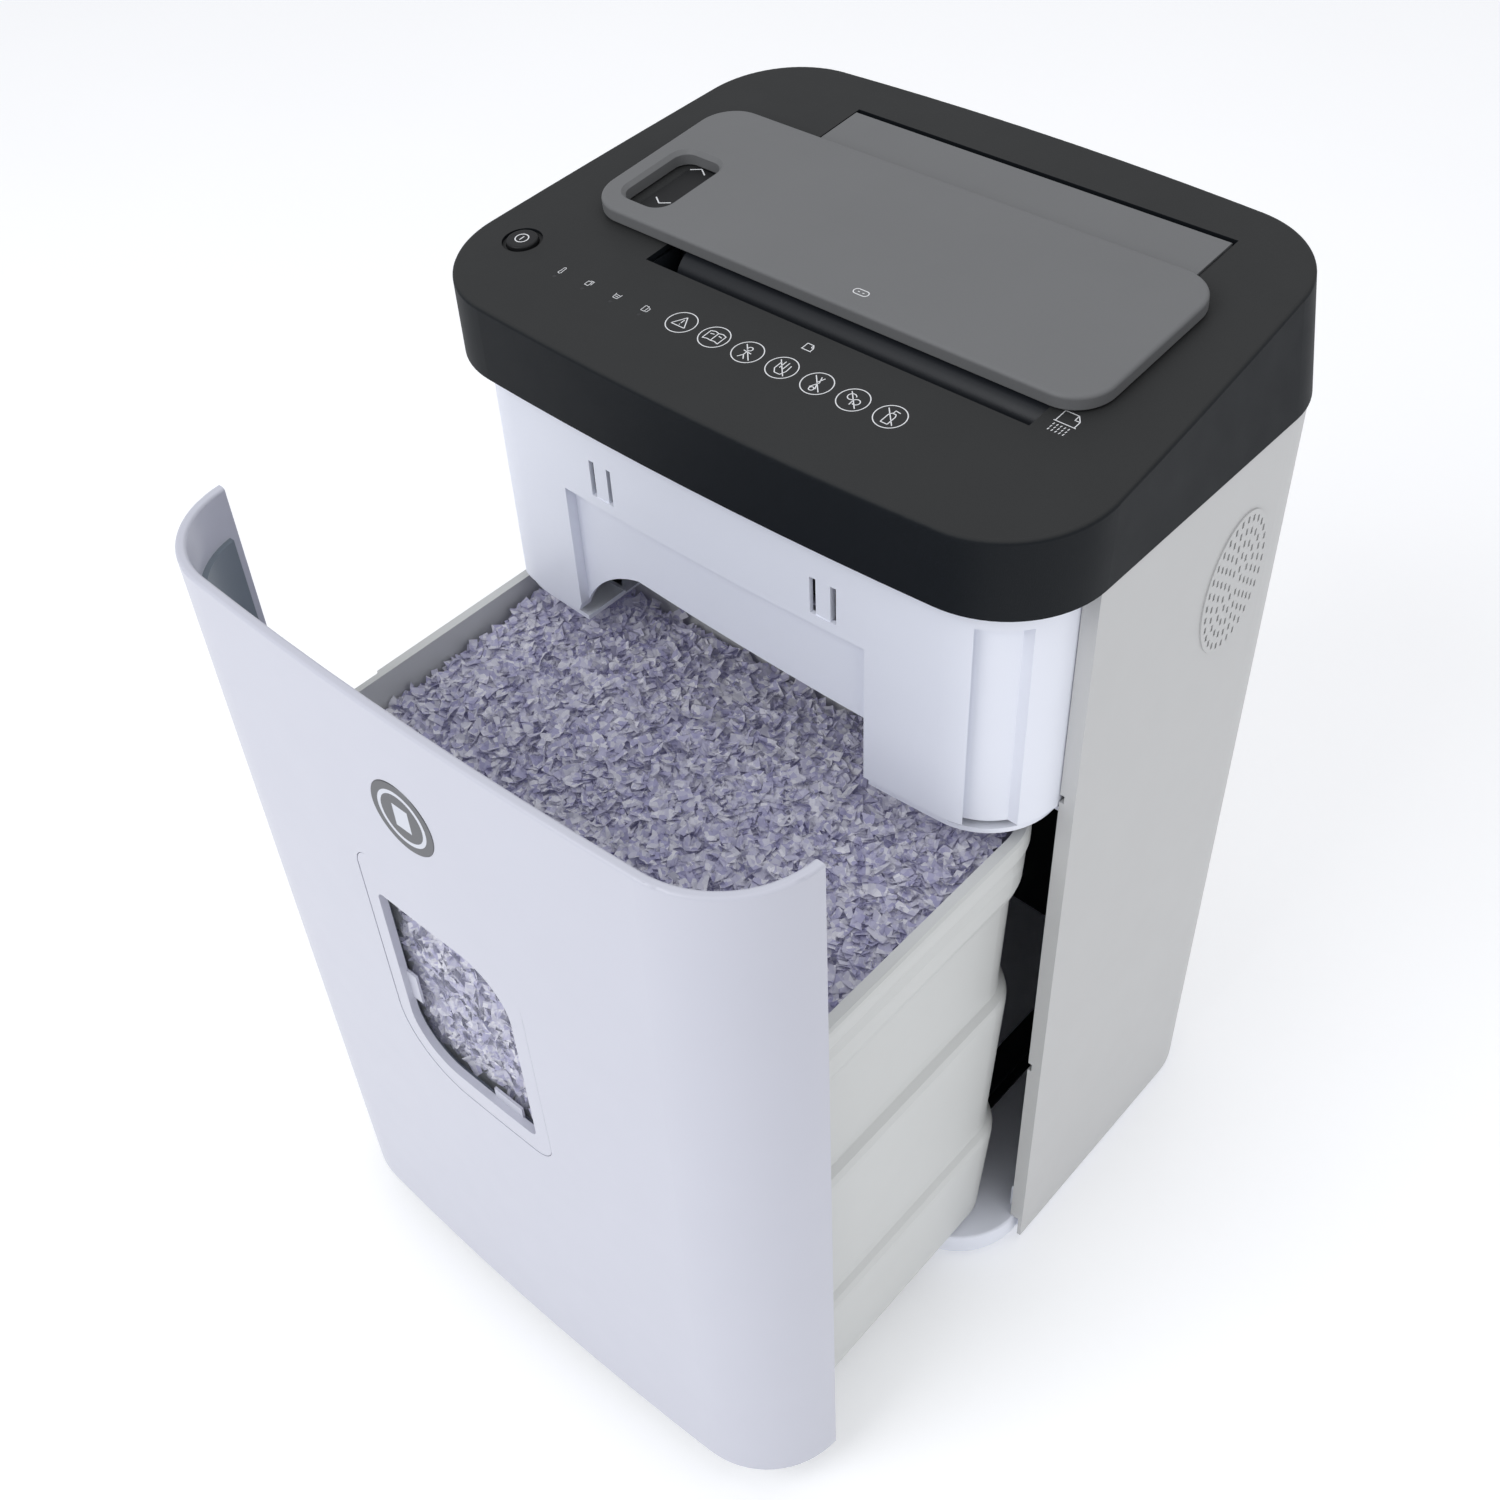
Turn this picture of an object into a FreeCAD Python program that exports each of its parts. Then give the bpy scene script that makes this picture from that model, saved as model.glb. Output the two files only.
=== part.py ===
import FreeCAD, Part
import math
import os

V = FreeCAD.Vector

# Paper shredder with an auto-feed lid and a pull-out bin.
# Millimetres. Origin on the floor under the middle of the cabinet.
# +X to the right, +Y to the back, +Z up. The drawer is stored partly open.

# ---------------------------------------------------------------- driving sizes
CABINET_WIDTH = 370.0
CABINET_DEPTH = 262.0
CABINET_HEIGHT = 564.0        # floor to the front edge of the sloping top
TOP_RISE = 22.0               # how much higher the back edge of the top is
TOP_TAPER = 10.0              # each side of the top leans in by this at the back
FACE_BOW = 4.0                # bulge of the front and back faces
CORNER_RADIUS = 53.0
BAND_HEIGHT = 40.0            # dark band of the head, at the front
COVER_WALL = 3.0

FOOT_HEIGHT = 6.0
FOOT_RADIUS = 12.0
PLINTH_HEIGHT = 16.0
PLINTH_SETBACK = 7.0
PANEL_WALL = 2.5
PANEL_SETBACK = 1.0
LINER_SETBACK = 5.0
LINER_WALL = 1.5

DRAWER_OUT = 178.0            # how far the drawer stands open
DRAWER_WALL = 5.0
DRAWER_LINER_WALL = 3.0
DRAWER_GAP = 2.0              # between drawer and plinth
GRIP_GAP = 11.0               # finger gap between band and drawer
WING_DEPTH = 50.0             # how far the drawer front wraps round the sides
JOINT_GAP = 1.0               # visible gap between drawer wings and side panels

DECK_DROP = 180.0             # deck below the top's front edge
DECK_WALL = 3.0
HOOD_SETBACK = 10.0
HOOD_WALL = 2.5
HOOD_RECESS = 6.0

THROAT_WIDTH = 222.0
THROAT_CENTRE_X = 17.0
SLOT_SETBACK = 73.0           # front edge of the slot behind the cabinet's front
SLOT_LENGTH_Y = 22.0
BRIDGE = 6.0                  # strip of cover between the slot and the tray
TRAY_LENGTH_Y = 134.0
TRAY_WALL = 2.0
TRAY_DROP = 18.0              # tray floor below the top's front edge

LID_SIDE_MARGIN = 37.0
LID_LENGTH_Y = 106.0
LID_THICKNESS = 7.5
LID_GAP = 1.0
LID_RADIUS = 20.0
FLAP_THICKNESS = 3.0
HINGE_PIN_RADIUS = 1.5
HINGE_BARREL_RADIUS = 2.6

BUTTON_RADIUS = 8.0
BUTTON_TRAVEL = 1.5
BUTTON_WELL = 2.3             # ring shaped moat round the button
BUTTON_WELL_DEPTH = 1.6
ROCKER_WIDTH = 17.0
ROCKER_LENGTH = 46.0
LIGHT_PIPE_RADIUS = 1.0

CUTTER_RADIUS = 20.0
CUTTER_CORE_RADIUS = 12.0
CUTTER_SPACING = 36.0
DISC_THICKNESS = 3.6
DISC_PITCH = 8.0
NIP_DROP = 100.0              # cutter axes below the top's front edge
NIP_BEHIND_SLOT = 12.0
JOURNAL_RADIUS = 7.0
FRAME_WALL = 2.5
FRAME_GAP = 1.5               # between the tray's side walls and the frames

MOTOR_RADIUS = 27.0
MOTOR_LENGTH = 150.0
MOTOR_SHAFT_RADIUS = 4.0
FAN_RADIUS = 28.0
FAN_WIDTH = 12.0
ROLLER_RADIUS = 14.0
ROLLER_WIDTH = 22.0
AXLE_RADIUS = 4.0

SCREW_X = 118.0
SCREW_RADIUS = 1.8

TUB_WALL = 3.0
TUB_SIDE_GAP = 17.0           # cabinet side to the rolled rim
TUB_FRONT_GAP = 11.0
TUB_BACK_GAP = 18.0
RIM_BELOW_DECK = 9.0
TUB_CORNER = 34.0
TUB_FLOOR_RISE = 11.0         # floor of the tub above its skirt
RAIL_X = 110.0

WINDOW_WIDTH = 87.0
WINDOW_HEIGHT = 122.0
WINDOW_SHARP = 5.0            # corner radii of the opening: two sharp, two round
WINDOW_ROUND = 30.0
WINDOW_X = -3.5               # the window sits a little left of the middle
WINDOW_DROP = 253.0           # middle of the window below the top's front edge
PANE_LAP = 5.5                # how far the pane reaches behind the bezel
BEZEL_BORDER_X = 9.5
BEZEL_BORDER_Z = 20.0
BEZEL_RISE = 6.0              # the bezel is taller above the window than below it
BEZEL_SHARP = 12.0
BEZEL_ROUND = 42.0
BADGE_X = -6.0
BADGE_DROP = 113.0
BADGE_RADIUS = 20.0

FIT = 0.05                    # radial running clearance
SEAT = 0.4                    # clearance between parts that stay apart

# ------------------------------------------------------------- derived positions
HALF_W = CABINET_WIDTH / 2
FRONT_Y = -CABINET_DEPTH / 2
BACK_Y = CABINET_DEPTH / 2
TOP = CABINET_HEIGHT
BAND_Z = TOP - BAND_HEIGHT
PLINTH_TOP = FOOT_HEIGHT + PLINTH_HEIGHT
DRAWER_BOTTOM = PLINTH_TOP + DRAWER_GAP
DRAWER_TOP = BAND_Z - GRIP_GAP
WING_END = FRONT_Y + WING_DEPTH
PANEL_FRONT = WING_END + JOINT_GAP
DECK_TOP = TOP - DECK_DROP
DECK_BOTTOM = DECK_TOP - DECK_WALL
SLOPE = math.degrees(math.atan2(TOP_RISE, CABINET_DEPTH))

THROAT_X0 = THROAT_CENTRE_X - THROAT_WIDTH / 2
THROAT_X1 = THROAT_CENTRE_X + THROAT_WIDTH / 2
SLOT_Y0 = FRONT_Y + SLOT_SETBACK
SLOT_Y1 = SLOT_Y0 + SLOT_LENGTH_Y
TRAY_Y0 = SLOT_Y1 + BRIDGE
TRAY_Y1 = TRAY_Y0 + TRAY_LENGTH_Y
TRAY_FLOOR = TOP - TRAY_DROP

LID_Y0 = SLOT_Y0 + 14.0
LID_Y1 = LID_Y0 + LID_LENGTH_Y
LID_HALF = HALF_W - LID_SIDE_MARGIN
LID_TOP = LID_GAP + LID_THICKNESS
FLAP_TOP = 0.4
HINGE_Y = TRAY_Y1 - 6.0
HINGE_H = -3.4

ROCKER_X = -LID_HALF + 26.0
ROCKER_Y = LID_Y0 + 37.0
ROCKER_PIN_H = -6.0
BUTTON_X = -HALF_W + 27.2
BUTTON_Y = FRONT_Y + 51.5
LIGHT_Y = FRONT_Y + 38.5
LIGHT_PITCH = 18.7
BOARD_H = -17.0
BOARD_WALL = 1.6
SWITCH_HEIGHT = 3.2

NIP_Y = SLOT_Y0 + NIP_BEHIND_SLOT
NIP_Z = TOP - NIP_DROP
FRONT_CUTTER = (NIP_Y - CUTTER_SPACING / 2, NIP_Z)
REAR_CUTTER = (NIP_Y + CUTTER_SPACING / 2, NIP_Z)
FRAME_X0 = THROAT_X0 - TRAY_WALL - FRAME_GAP
FRAME_X1 = THROAT_X1 + TRAY_WALL + FRAME_GAP
ROLLER = (TRAY_Y0 + 30.0, TRAY_FLOOR - ROLLER_RADIUS + 2.0)
MOTOR = (TRAY_Y0 + 68.0, NIP_Z - 15.0)
FAN_X1 = HALF_W - 23.0
FAN_X0 = FAN_X1 - FAN_WIDTH
POCKET_Y0 = MOTOR[0] + MOTOR_RADIUS + 5.0
POCKET_Y1 = POCKET_Y0 + 22.0
POCKET_BOTTOM = DECK_TOP + 26.0

TUB_RIM_Z = DECK_BOTTOM - RIM_BELOW_DECK
TUB_BOTTOM = DRAWER_BOTTOM + 1.0
TUB_FLOOR_UNDER = TUB_BOTTOM + TUB_FLOOR_RISE
TUB_Y0 = FRONT_Y + TUB_FRONT_GAP
TUB_Y1 = BACK_Y - TUB_BACK_GAP
TUB_HALF = HALF_W - TUB_SIDE_GAP
WINDOW_Z = TOP - WINDOW_DROP
BEZEL_Z = WINDOW_Z + BEZEL_RISE
BADGE_Z = TOP - BADGE_DROP

# Gears: module, teeth and the layer along X that each pair runs in
MODULE_MOTOR = 1.0
MODULE_MIDDLE = 1.25
MODULE_CUTTER = 1.5
TEETH_PINION = 12
TEETH_FIRST = 60
TEETH_FIRST_PINION = 14
TEETH_SECOND = 48
TEETH_SECOND_PINION = 14
TEETH_DRIVE = 40
TEETH_SYNC = 24
TEETH_IDLER = 32
TEETH_ROLLER = 20
MODULE_SYNC = CUTTER_SPACING / TEETH_SYNC
GEAR_GAP = 1.5
WIDTH_MOTOR_PAIR = 6.0
WIDTH_MIDDLE_PAIR = 8.0
WIDTH_CUTTER_PAIR = 10.0
WIDTH_SYNC = 8.0

NODES = {}


def keep(name, *solids):
    """Record the solids of one node."""
    shape = solids[0] if len(solids) == 1 else Part.makeCompound(list(solids))
    NODES[name] = shape
    return shape


# -------------------------------------------------------------------- primitives
def box(x0, x1, y0, y1, z0, z1):
    return Part.makeBox(x1 - x0, y1 - y0, z1 - z0, V(x0, y0, z0))


def rod_x(x0, x1, y, z, radius):
    return Part.makeCylinder(radius, x1 - x0, V(x0, y, z), V(1, 0, 0))


def rod_z(x, y, z0, z1, radius):
    return Part.makeCylinder(radius, z1 - z0, V(x, y, z0), V(0, 0, 1))


def fuse(solids):
    """One clean solid out of several that touch."""
    joined = solids[0].fuse(list(solids[1:]))
    return joined.removeSplitter()


def polygon_yz(points, x0, x1):
    """Prism along X from corner points given as (y, z)."""
    corners = [V(x0, y, z) for y, z in points]
    face = Part.Face(Part.makePolygon(corners + corners[:1]))
    return face.extrude(V(x1 - x0, 0, 0))


def polygon_xz(points, y0, y1):
    """Prism along Y from corner points given as (x, z)."""
    corners = [V(x, y0, z) for x, z in points]
    face = Part.Face(Part.makePolygon(corners + corners[:1]))
    return face.extrude(V(0, y1 - y0, 0))


def rounded_wire(x0, x1, y0, y1, radii, z):
    """Rectangle with its own radius at each corner: front left, front right, back right, back left."""
    fl, fr, br, bl = radii
    k = math.sqrt(0.5)
    edges = [
        Part.makeLine(V(x0 + fl, y0, z), V(x1 - fr, y0, z)),
        Part.Arc(V(x1 - fr, y0, z), V(x1 - fr + fr * k, y0 + fr - fr * k, z), V(x1, y0 + fr, z)).toShape(),
        Part.makeLine(V(x1, y0 + fr, z), V(x1, y1 - br, z)),
        Part.Arc(V(x1, y1 - br, z), V(x1 - br + br * k, y1 - br + br * k, z), V(x1 - br, y1, z)).toShape(),
        Part.makeLine(V(x1 - br, y1, z), V(x0 + bl, y1, z)),
        Part.Arc(V(x0 + bl, y1, z), V(x0 + bl - bl * k, y1 - bl + bl * k, z), V(x0, y1 - bl, z)).toShape(),
        Part.makeLine(V(x0, y1 - bl, z), V(x0, y0 + fl, z)),
        Part.Arc(V(x0, y0 + fl, z), V(x0 + fl - fl * k, y0 + fl - fl * k, z), V(x0 + fl, y0, z)).toShape(),
    ]
    return Part.Wire(edges)


def rounded_box(x0, x1, y0, y1, z0, z1, radius):
    wire = rounded_wire(x0, x1, y0, y1, [radius] * 4, z0)
    return Part.Face(wire).extrude(V(0, 0, z1 - z0))


def leaf_prism(x_half, z_half, z_mid, sharp, round_, y0, y1):
    """Window outline in the XZ plane about WINDOW_X, two corners sharp and two round, run along Y."""
    wire = rounded_wire(-x_half, x_half, -z_half, z_half, [round_, sharp, round_, sharp], 0)
    solid = Part.Face(wire).extrude(V(0, 0, y1 - y0))
    solid.rotate(V(0, 0, 0), V(1, 0, 0), 90)
    solid.translate(V(WINDOW_X, y1, z_mid))
    return solid


def edges_at(shape, test):
    return [edge for edge in shape.Edges if test(edge)]


def filleted(shape, radius, test):
    return shape.makeFillet(radius, edges_at(shape, test))


# --------------------------------------------------------- plan of the cabinet
def outline(setback, z, taper=0.0):
    """Plan of the cabinet, all curves set in by setback: bowed front and back, four round corners.

    The large bow arc touches each corner arc from inside. The back corners move in by taper.
    """
    radius = CORNER_RADIUS
    reach_y = CABINET_DEPTH / 2 - radius
    halves = []
    for side, shrink in ((-1, 0.0), (1, taper)):
        reach_x = HALF_W - radius - shrink
        extra = (reach_x ** 2 + FACE_BOW ** 2) / (2 * FACE_BOW)
        bow_radius = radius + extra
        bow_centre = side * (CABINET_DEPTH / 2 + FACE_BOW - bow_radius)
        unit = (reach_x / extra, (side * reach_y - bow_centre) / extra)
        touch = (unit[0] * (bow_radius - setback), bow_centre + unit[1] * (bow_radius - setback))
        crest = side * (CABINET_DEPTH / 2 + FACE_BOW - setback)
        halves.append((reach_x, touch, crest, unit))
    r = radius - setback
    (fx, ft, fcrest, fu), (bx, bt, bcrest, bu) = halves
    length = math.hypot(2 * reach_y, taper)
    nx, ny = 2 * reach_y / length, taper / length

    def corner(cx, cy, start, end):
        mid = (start[0] + end[0], start[1] + end[1])
        size = math.hypot(*mid)
        return V(cx + r * mid[0] / size, cy + r * mid[1] / size, z)

    def p(x, y):
        return V(x, y, z)

    side_f = (fx + r * nx, -reach_y + r * ny)
    side_b = (bx + r * nx, reach_y + r * ny)
    edges = [
        Part.Arc(p(-ft[0], ft[1]), p(0, fcrest), p(*ft)).toShape(),
        Part.Arc(p(*ft), corner(fx, -reach_y, fu, (nx, ny)), p(*side_f)).toShape(),
        Part.makeLine(p(*side_f), p(*side_b)),
        Part.Arc(p(*side_b), corner(bx, reach_y, (nx, ny), bu), p(*bt)).toShape(),
        Part.Arc(p(*bt), p(0, bcrest), p(-bt[0], bt[1])).toShape(),
        Part.Arc(p(-bt[0], bt[1]), corner(-bx, reach_y, (-nx, ny), (-bu[0], bu[1])),
                 p(-side_b[0], side_b[1])).toShape(),
        Part.makeLine(p(-side_b[0], side_b[1]), p(-side_f[0], side_f[1])),
        Part.Arc(p(-side_f[0], side_f[1]), corner(-fx, -reach_y, (-nx, ny), (-fu[0], fu[1])),
                 p(-ft[0], ft[1])).toShape(),
    ]
    return Part.Wire(edges)


def slab(setback, z0, z1):
    return Part.Face(outline(setback, z0)).extrude(V(0, 0, z1 - z0))


def skin(outer, inner, z0, z1):
    """Wall that follows the cabinet's plan between two setbacks."""
    return slab(outer, z0, z1).cut(slab(inner, z0, z1))


def region(y0=-1000.0, y1=1000.0, x0=-1000.0, x1=1000.0):
    return box(x0, x1, y0, y1, -10, 2 * TOP)


# ------------------------------------------------------------- sloping top frame
def on_top(shape):
    """Move a shape drawn on a level top (height 0 at the surface) onto the sloping top."""
    moved = shape.copy()
    moved.rotate(V(0, 0, 0), V(1, 0, 0), SLOPE)
    moved.translate(V(0, 0, TOP + TOP_RISE / 2))
    return moved


def top_z(y, height=0.0):
    """Height above the floor of the point at y that stands height over the sloping top."""
    return TOP + TOP_RISE * (y - FRONT_Y) / CABINET_DEPTH + height


def top_point(y, height):
    """(y, z) of a point given in the sloping frame."""
    a = math.radians(SLOPE)
    return (y * math.cos(a) - height * math.sin(a),
            TOP + TOP_RISE / 2 + y * math.sin(a) + height * math.cos(a))


def sloped_block(setback, wall_top):
    """Body of the head: plan of the cabinet from the band's lower edge up to the sloping plane."""
    z_high = TOP + TOP_RISE + 20.0
    lean = TOP_TAPER * (z_high - BAND_Z) / (TOP + TOP_RISE - BAND_Z)
    block = Part.makeLoft([outline(setback, BAND_Z), outline(setback, z_high, lean)], True, True)
    above = on_top(box(-HALF_W * 2, HALF_W * 2, FRONT_Y * 2, BACK_Y * 2, wall_top, 120))
    return block.cut(above)


# ----------------------------------------------------------------------- the head
def top_cover():
    outer = sloped_block(0, 0)
    rim = max(outer.Faces, key=lambda f: f.CenterOfMass.z).OuterWire.Edges
    outer = outer.makeFillet(2.0, rim)
    cover = outer.cut(sloped_block(COVER_WALL, -COVER_WALL))
    add = []
    cut = [box(THROAT_X0, THROAT_X1, SLOT_Y0, SLOT_Y1, -20, 20),
           box(THROAT_X0, THROAT_X1 + 1, TRAY_Y0, TRAY_Y1, -20, 20)]
    # button well: a short collar with a dished mouth
    add.append(Part.makeCylinder(BUTTON_RADIUS + 4, 3, V(BUTTON_X, BUTTON_Y, -COVER_WALL - 0.6)))
    cut.append(Part.makeCylinder(BUTTON_RADIUS + SEAT, 40, V(BUTTON_X, BUTTON_Y, -20)))
    cut.append(Part.makeCylinder(BUTTON_RADIUS + BUTTON_WELL, 20,
                                 V(BUTTON_X, BUTTON_Y, -BUTTON_WELL_DEPTH)))
    # rocker opening
    half_x = ROCKER_WIDTH / 2 + SEAT
    half_y = ROCKER_LENGTH / 2 + 1.0
    cut.append(rounded_box(ROCKER_X - half_x, ROCKER_X + half_x, ROCKER_Y - half_y, ROCKER_Y + half_y,
                           -20, 20, 5))
    for side in (-1, 1):
        ear = box(ROCKER_X + side * (half_x + 2) - 2, ROCKER_X + side * (half_x + 2) + 2,
                  ROCKER_Y - 4, ROCKER_Y + 4, ROCKER_PIN_H - 4, -COVER_WALL + 0.5)
        add.append(ear)
    cut.append(rod_x(ROCKER_X - half_x - 6, ROCKER_X + half_x + 6, ROCKER_Y, ROCKER_PIN_H, 1.5 + FIT))
    for x in light_xs():
        cut.append(Part.makeCylinder(LIGHT_PIPE_RADIUS + FIT, 40, V(x, LIGHT_Y, -20)))
    # posts that carry the control board
    for x, y in board_posts():
        add.append(Part.makeCylinder(2.6, -COVER_WALL + 0.5 - BOARD_H - BOARD_WALL,
                                     V(x, y, BOARD_H + BOARD_WALL)))
    # bosses that hold the hinge pins of the lid
    for x0, x1 in ((THROAT_X0 - 6, THROAT_X0), (THROAT_X1 + 1, THROAT_X1 + 7)):
        add.append(box(x0, x1, HINGE_Y - 4.5, HINGE_Y + 4.5, HINGE_H - 4.5, -COVER_WALL + 0.5))
    cut.append(rod_x(THROAT_X0 - 5, THROAT_X1 + 6, HINGE_Y, HINGE_H, HINGE_PIN_RADIUS + FIT))
    cover = cover.fuse([on_top(s) for s in add])
    return cover.cut([on_top(s) for s in cut]).removeSplitter()


def light_xs():
    return [BUTTON_X + 36.0 + i * LIGHT_PITCH for i in range(4)]


def board_edges():
    return (BUTTON_X - 12.0, light_xs()[-1] + 10.0, BUTTON_Y - 22.0, BUTTON_Y + 16.0)


def board_posts():
    x0, x1, y0, y1 = board_edges()
    return [(x0 + 4, y1 - 4), (x1 - 4, y0 + 4), (x1 - 4, y1 - 4), (x0 + 45, y1 - 4)]


def button_parts():
    cap = Part.makeCylinder(BUTTON_RADIUS, 5.6, V(BUTTON_X, BUTTON_Y, -4.6))
    cap = filleted(cap, 1.0, lambda e: e.BoundBox.ZMin > 0.5)
    flange = Part.makeCylinder(BUTTON_RADIUS + 1.6, 1.2, V(BUTTON_X, BUTTON_Y, -5.6))
    stem_end = BOARD_H + BOARD_WALL + SWITCH_HEIGHT + BUTTON_TRAVEL + 0.5
    stem = Part.makeCylinder(2.0, -5.4 - stem_end, V(BUTTON_X, BUTTON_Y, stem_end))
    keep("power_button", on_top(fuse([cap, flange, stem])))
    helix = Part.makeHelix(1.35, 8.1, 4.2)
    wire = Part.Wire(Part.makeCircle(0.3, V(4.2, 0, 0), V(0, 1, 0)))
    spring = Part.Wire(helix).makePipeShell([wire], True, True)
    spring.translate(V(BUTTON_X, BUTTON_Y, BOARD_H + BOARD_WALL + 0.4))
    keep("power_button_spring", on_top(spring))


def rocker_parts():
    x0, x1 = ROCKER_X - ROCKER_WIDTH / 2, ROCKER_X + ROCKER_WIDTH / 2
    y0, y1 = ROCKER_Y - ROCKER_LENGTH / 2, ROCKER_Y + ROCKER_LENGTH / 2
    body = rounded_box(x0, x1, y0, y1, -4.2, 0.7, 4.6)
    body = filleted(body, 0.6, lambda e: e.BoundBox.ZMin > 0.5)
    hub = rod_x(x0 + 1, x1 - 1, ROCKER_Y, ROCKER_PIN_H, 3.2)
    bore = rod_x(x0 - 1, x1 + 1, ROCKER_Y, ROCKER_PIN_H, 1.5 + FIT)
    keep("rocker_button", on_top(fuse([body, hub]).cut(bore)))
    reach = ROCKER_WIDTH / 2 + SEAT + 3.5
    keep("rocker_pin", on_top(rod_x(ROCKER_X - reach, ROCKER_X + reach, ROCKER_Y, ROCKER_PIN_H, 1.5)))


def board_parts():
    x0, x1, y0, y1 = board_edges()
    board = box(x0, x1, y0, y1, BOARD_H, BOARD_H + BOARD_WALL)
    for x, y in board_posts():
        board = board.cut(Part.makeCylinder(1.2, 10, V(x, y, BOARD_H - 4)))
    keep("control_board", on_top(board))
    z = BOARD_H + BOARD_WALL
    switch = box(BUTTON_X - 2.4, BUTTON_X + 2.4, BUTTON_Y - 2.4, BUTTON_Y + 2.4, z, z + SWITCH_HEIGHT)
    parts = [switch]
    for x in light_xs():
        parts.append(box(x - 1.2, x + 1.2, LIGHT_Y - 1, LIGHT_Y + 1, z, z + 1))
    under = BOARD_H
    parts.append(box(x0 + 20, x0 + 39, y0 + 6, y0 + 22, under - 15, under))
    parts.append(box(x0 + 45, x0 + 60, y0 + 5, y0 + 11, under - 9, under))
    parts.append(box(x0 + 66, x0 + 80, y0 + 8, y0 + 22, under - 3, under))
    ry = ROCKER_Y
    for side in (-1, 1):
        parts.append(box(ROCKER_X - 4, ROCKER_X + 4, ry + side * 15 - 5, ry + side * 15 + 5, -17.5, -8.5))
    parts.append(box(ROCKER_X - 7, ROCKER_X + 7, ry - 24, ry + 24, -19.1, -17.5))
    keep("board_components", *[on_top(p) for p in parts])
    pipes = [Part.makeCylinder(LIGHT_PIPE_RADIUS, 15.0 - 1.6, V(x, LIGHT_Y, -13.4)) for x in light_xs()]
    keep("light_pipes", *[on_top(p) for p in pipes])


def lid_parts():
    lid = rounded_box(-LID_HALF, LID_HALF, LID_Y0, LID_Y1, LID_GAP, LID_TOP, LID_RADIUS)
    lid = filleted(lid, 2.0, lambda e: e.BoundBox.ZMin > LID_TOP - 0.1)
    lid = filleted(lid, 0.8, lambda e: e.BoundBox.ZMax < LID_GAP + 0.1)
    wx0, wx1 = ROCKER_X - 14.5, ROCKER_X + 14.0
    wy0, wy1 = ROCKER_Y - 24.5, ROCKER_Y + 23.5
    lid = lid.cut(rounded_box(wx0, wx1, wy0, wy1, -5, 20, 8))
    mouth = Part.makeLoft([rounded_wire(wx0, wx1, wy0, wy1, [8] * 4, LID_TOP - 2),
                           rounded_wire(wx0 - 2.4, wx1 + 2.4, wy0 - 2.4, wy1 + 2.4, [10.4] * 4,
                                        LID_TOP + 0.4)],
                          True, True)
    lid = lid.cut(mouth)
    # ears under the lid carry the pressure plate
    ex0, ex1, py, ph = plate_pivot()
    ears = [box(ex0 - 4, ex0, py - 4, py + 4, ph - 4, LID_GAP + 1),
            box(ex1, ex1 + 4, py - 4, py + 4, ph - 4, LID_GAP + 1)]
    lid = fuse([lid] + ears)
    lid = lid.cut(rod_x(ex0 - 5, ex1 + 5, py, ph, 1.5 + FIT))
    keep("feed_lid", on_top(lid))
    fx0, fx1 = THROAT_X0 + 1.2, THROAT_X1 - 0.2
    flap = box(fx0, fx1, LID_Y1 - 10, HINGE_Y + 3, FLAP_TOP - FLAP_THICKNESS, FLAP_TOP)
    flap = filleted(flap, 1.0, lambda e: e.BoundBox.YMin > HINGE_Y + 2.9 and e.BoundBox.ZMin > FLAP_TOP - 0.1)
    barrel = rod_x(fx0, fx1, HINGE_Y, HINGE_H, HINGE_BARREL_RADIUS)
    pads = [box(x - 8, x + 8, LID_Y1 - 9, LID_Y1 - 3, FLAP_TOP - 0.5, LID_GAP)
            for x in (fx0 + 20, THROAT_CENTRE_X, fx1 - 20)]
    flap = fuse([flap, barrel] + pads).cut(rod_x(fx0 - 1, fx1 + 1, HINGE_Y, HINGE_H,
                                                 HINGE_PIN_RADIUS + FIT))
    keep("lid_hinge_flap", on_top(flap))
    left = rod_x(THROAT_X0 - 4.6, THROAT_X0 + 14, HINGE_Y, HINGE_H, HINGE_PIN_RADIUS)
    right = rod_x(THROAT_X1 - 14, THROAT_X1 + 5.6, HINGE_Y, HINGE_H, HINGE_PIN_RADIUS)
    keep("hinge_pins", on_top(left), on_top(right))


def plate_pivot():
    """x of the two ears, and the pivot's place in the sloping frame."""
    return (THROAT_CENTRE_X - 80, THROAT_CENTRE_X + 80, LID_Y1 - 20.0, -6.0)


def pressure_parts():
    ex0, ex1, py, ph = plate_pivot()
    reach = 64.0
    tilt = 12.0
    plate = box(ex0 + 1, ex1 - 1, py - reach, py, ph - 3.4, ph - 1.6)
    nose = rod_x(ex0 + 1, ex1 - 1, py - reach, ph - 2.5, 0.9)
    barrel = rod_x(ex0 + 1, ex1 - 1, py, ph, 3.2)
    ribs = [box(x - 1, x + 1, py - reach + 6, py, ph - 1.7, ph + 1.2)
            for x in (ex0 + 20, THROAT_CENTRE_X, ex1 - 20)]
    plate = fuse([plate, nose, barrel] + ribs).cut(rod_x(ex0, ex1, py, ph, 1.5 + FIT))
    pad = box(THROAT_CENTRE_X - 30, THROAT_CENTRE_X + 30, py - reach + 3, py - reach + 21, ph - 5, ph - 3.4)
    for part in (plate, pad):
        part.rotate(V(0, py, ph), V(1, 0, 0), tilt)
    keep("pressure_plate", on_top(plate))
    keep("pressure_pad", on_top(pad))
    keep("plate_pivot_pin", on_top(rod_x(ex0 - 4, ex1 + 4, py, ph, 1.5)))


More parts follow.
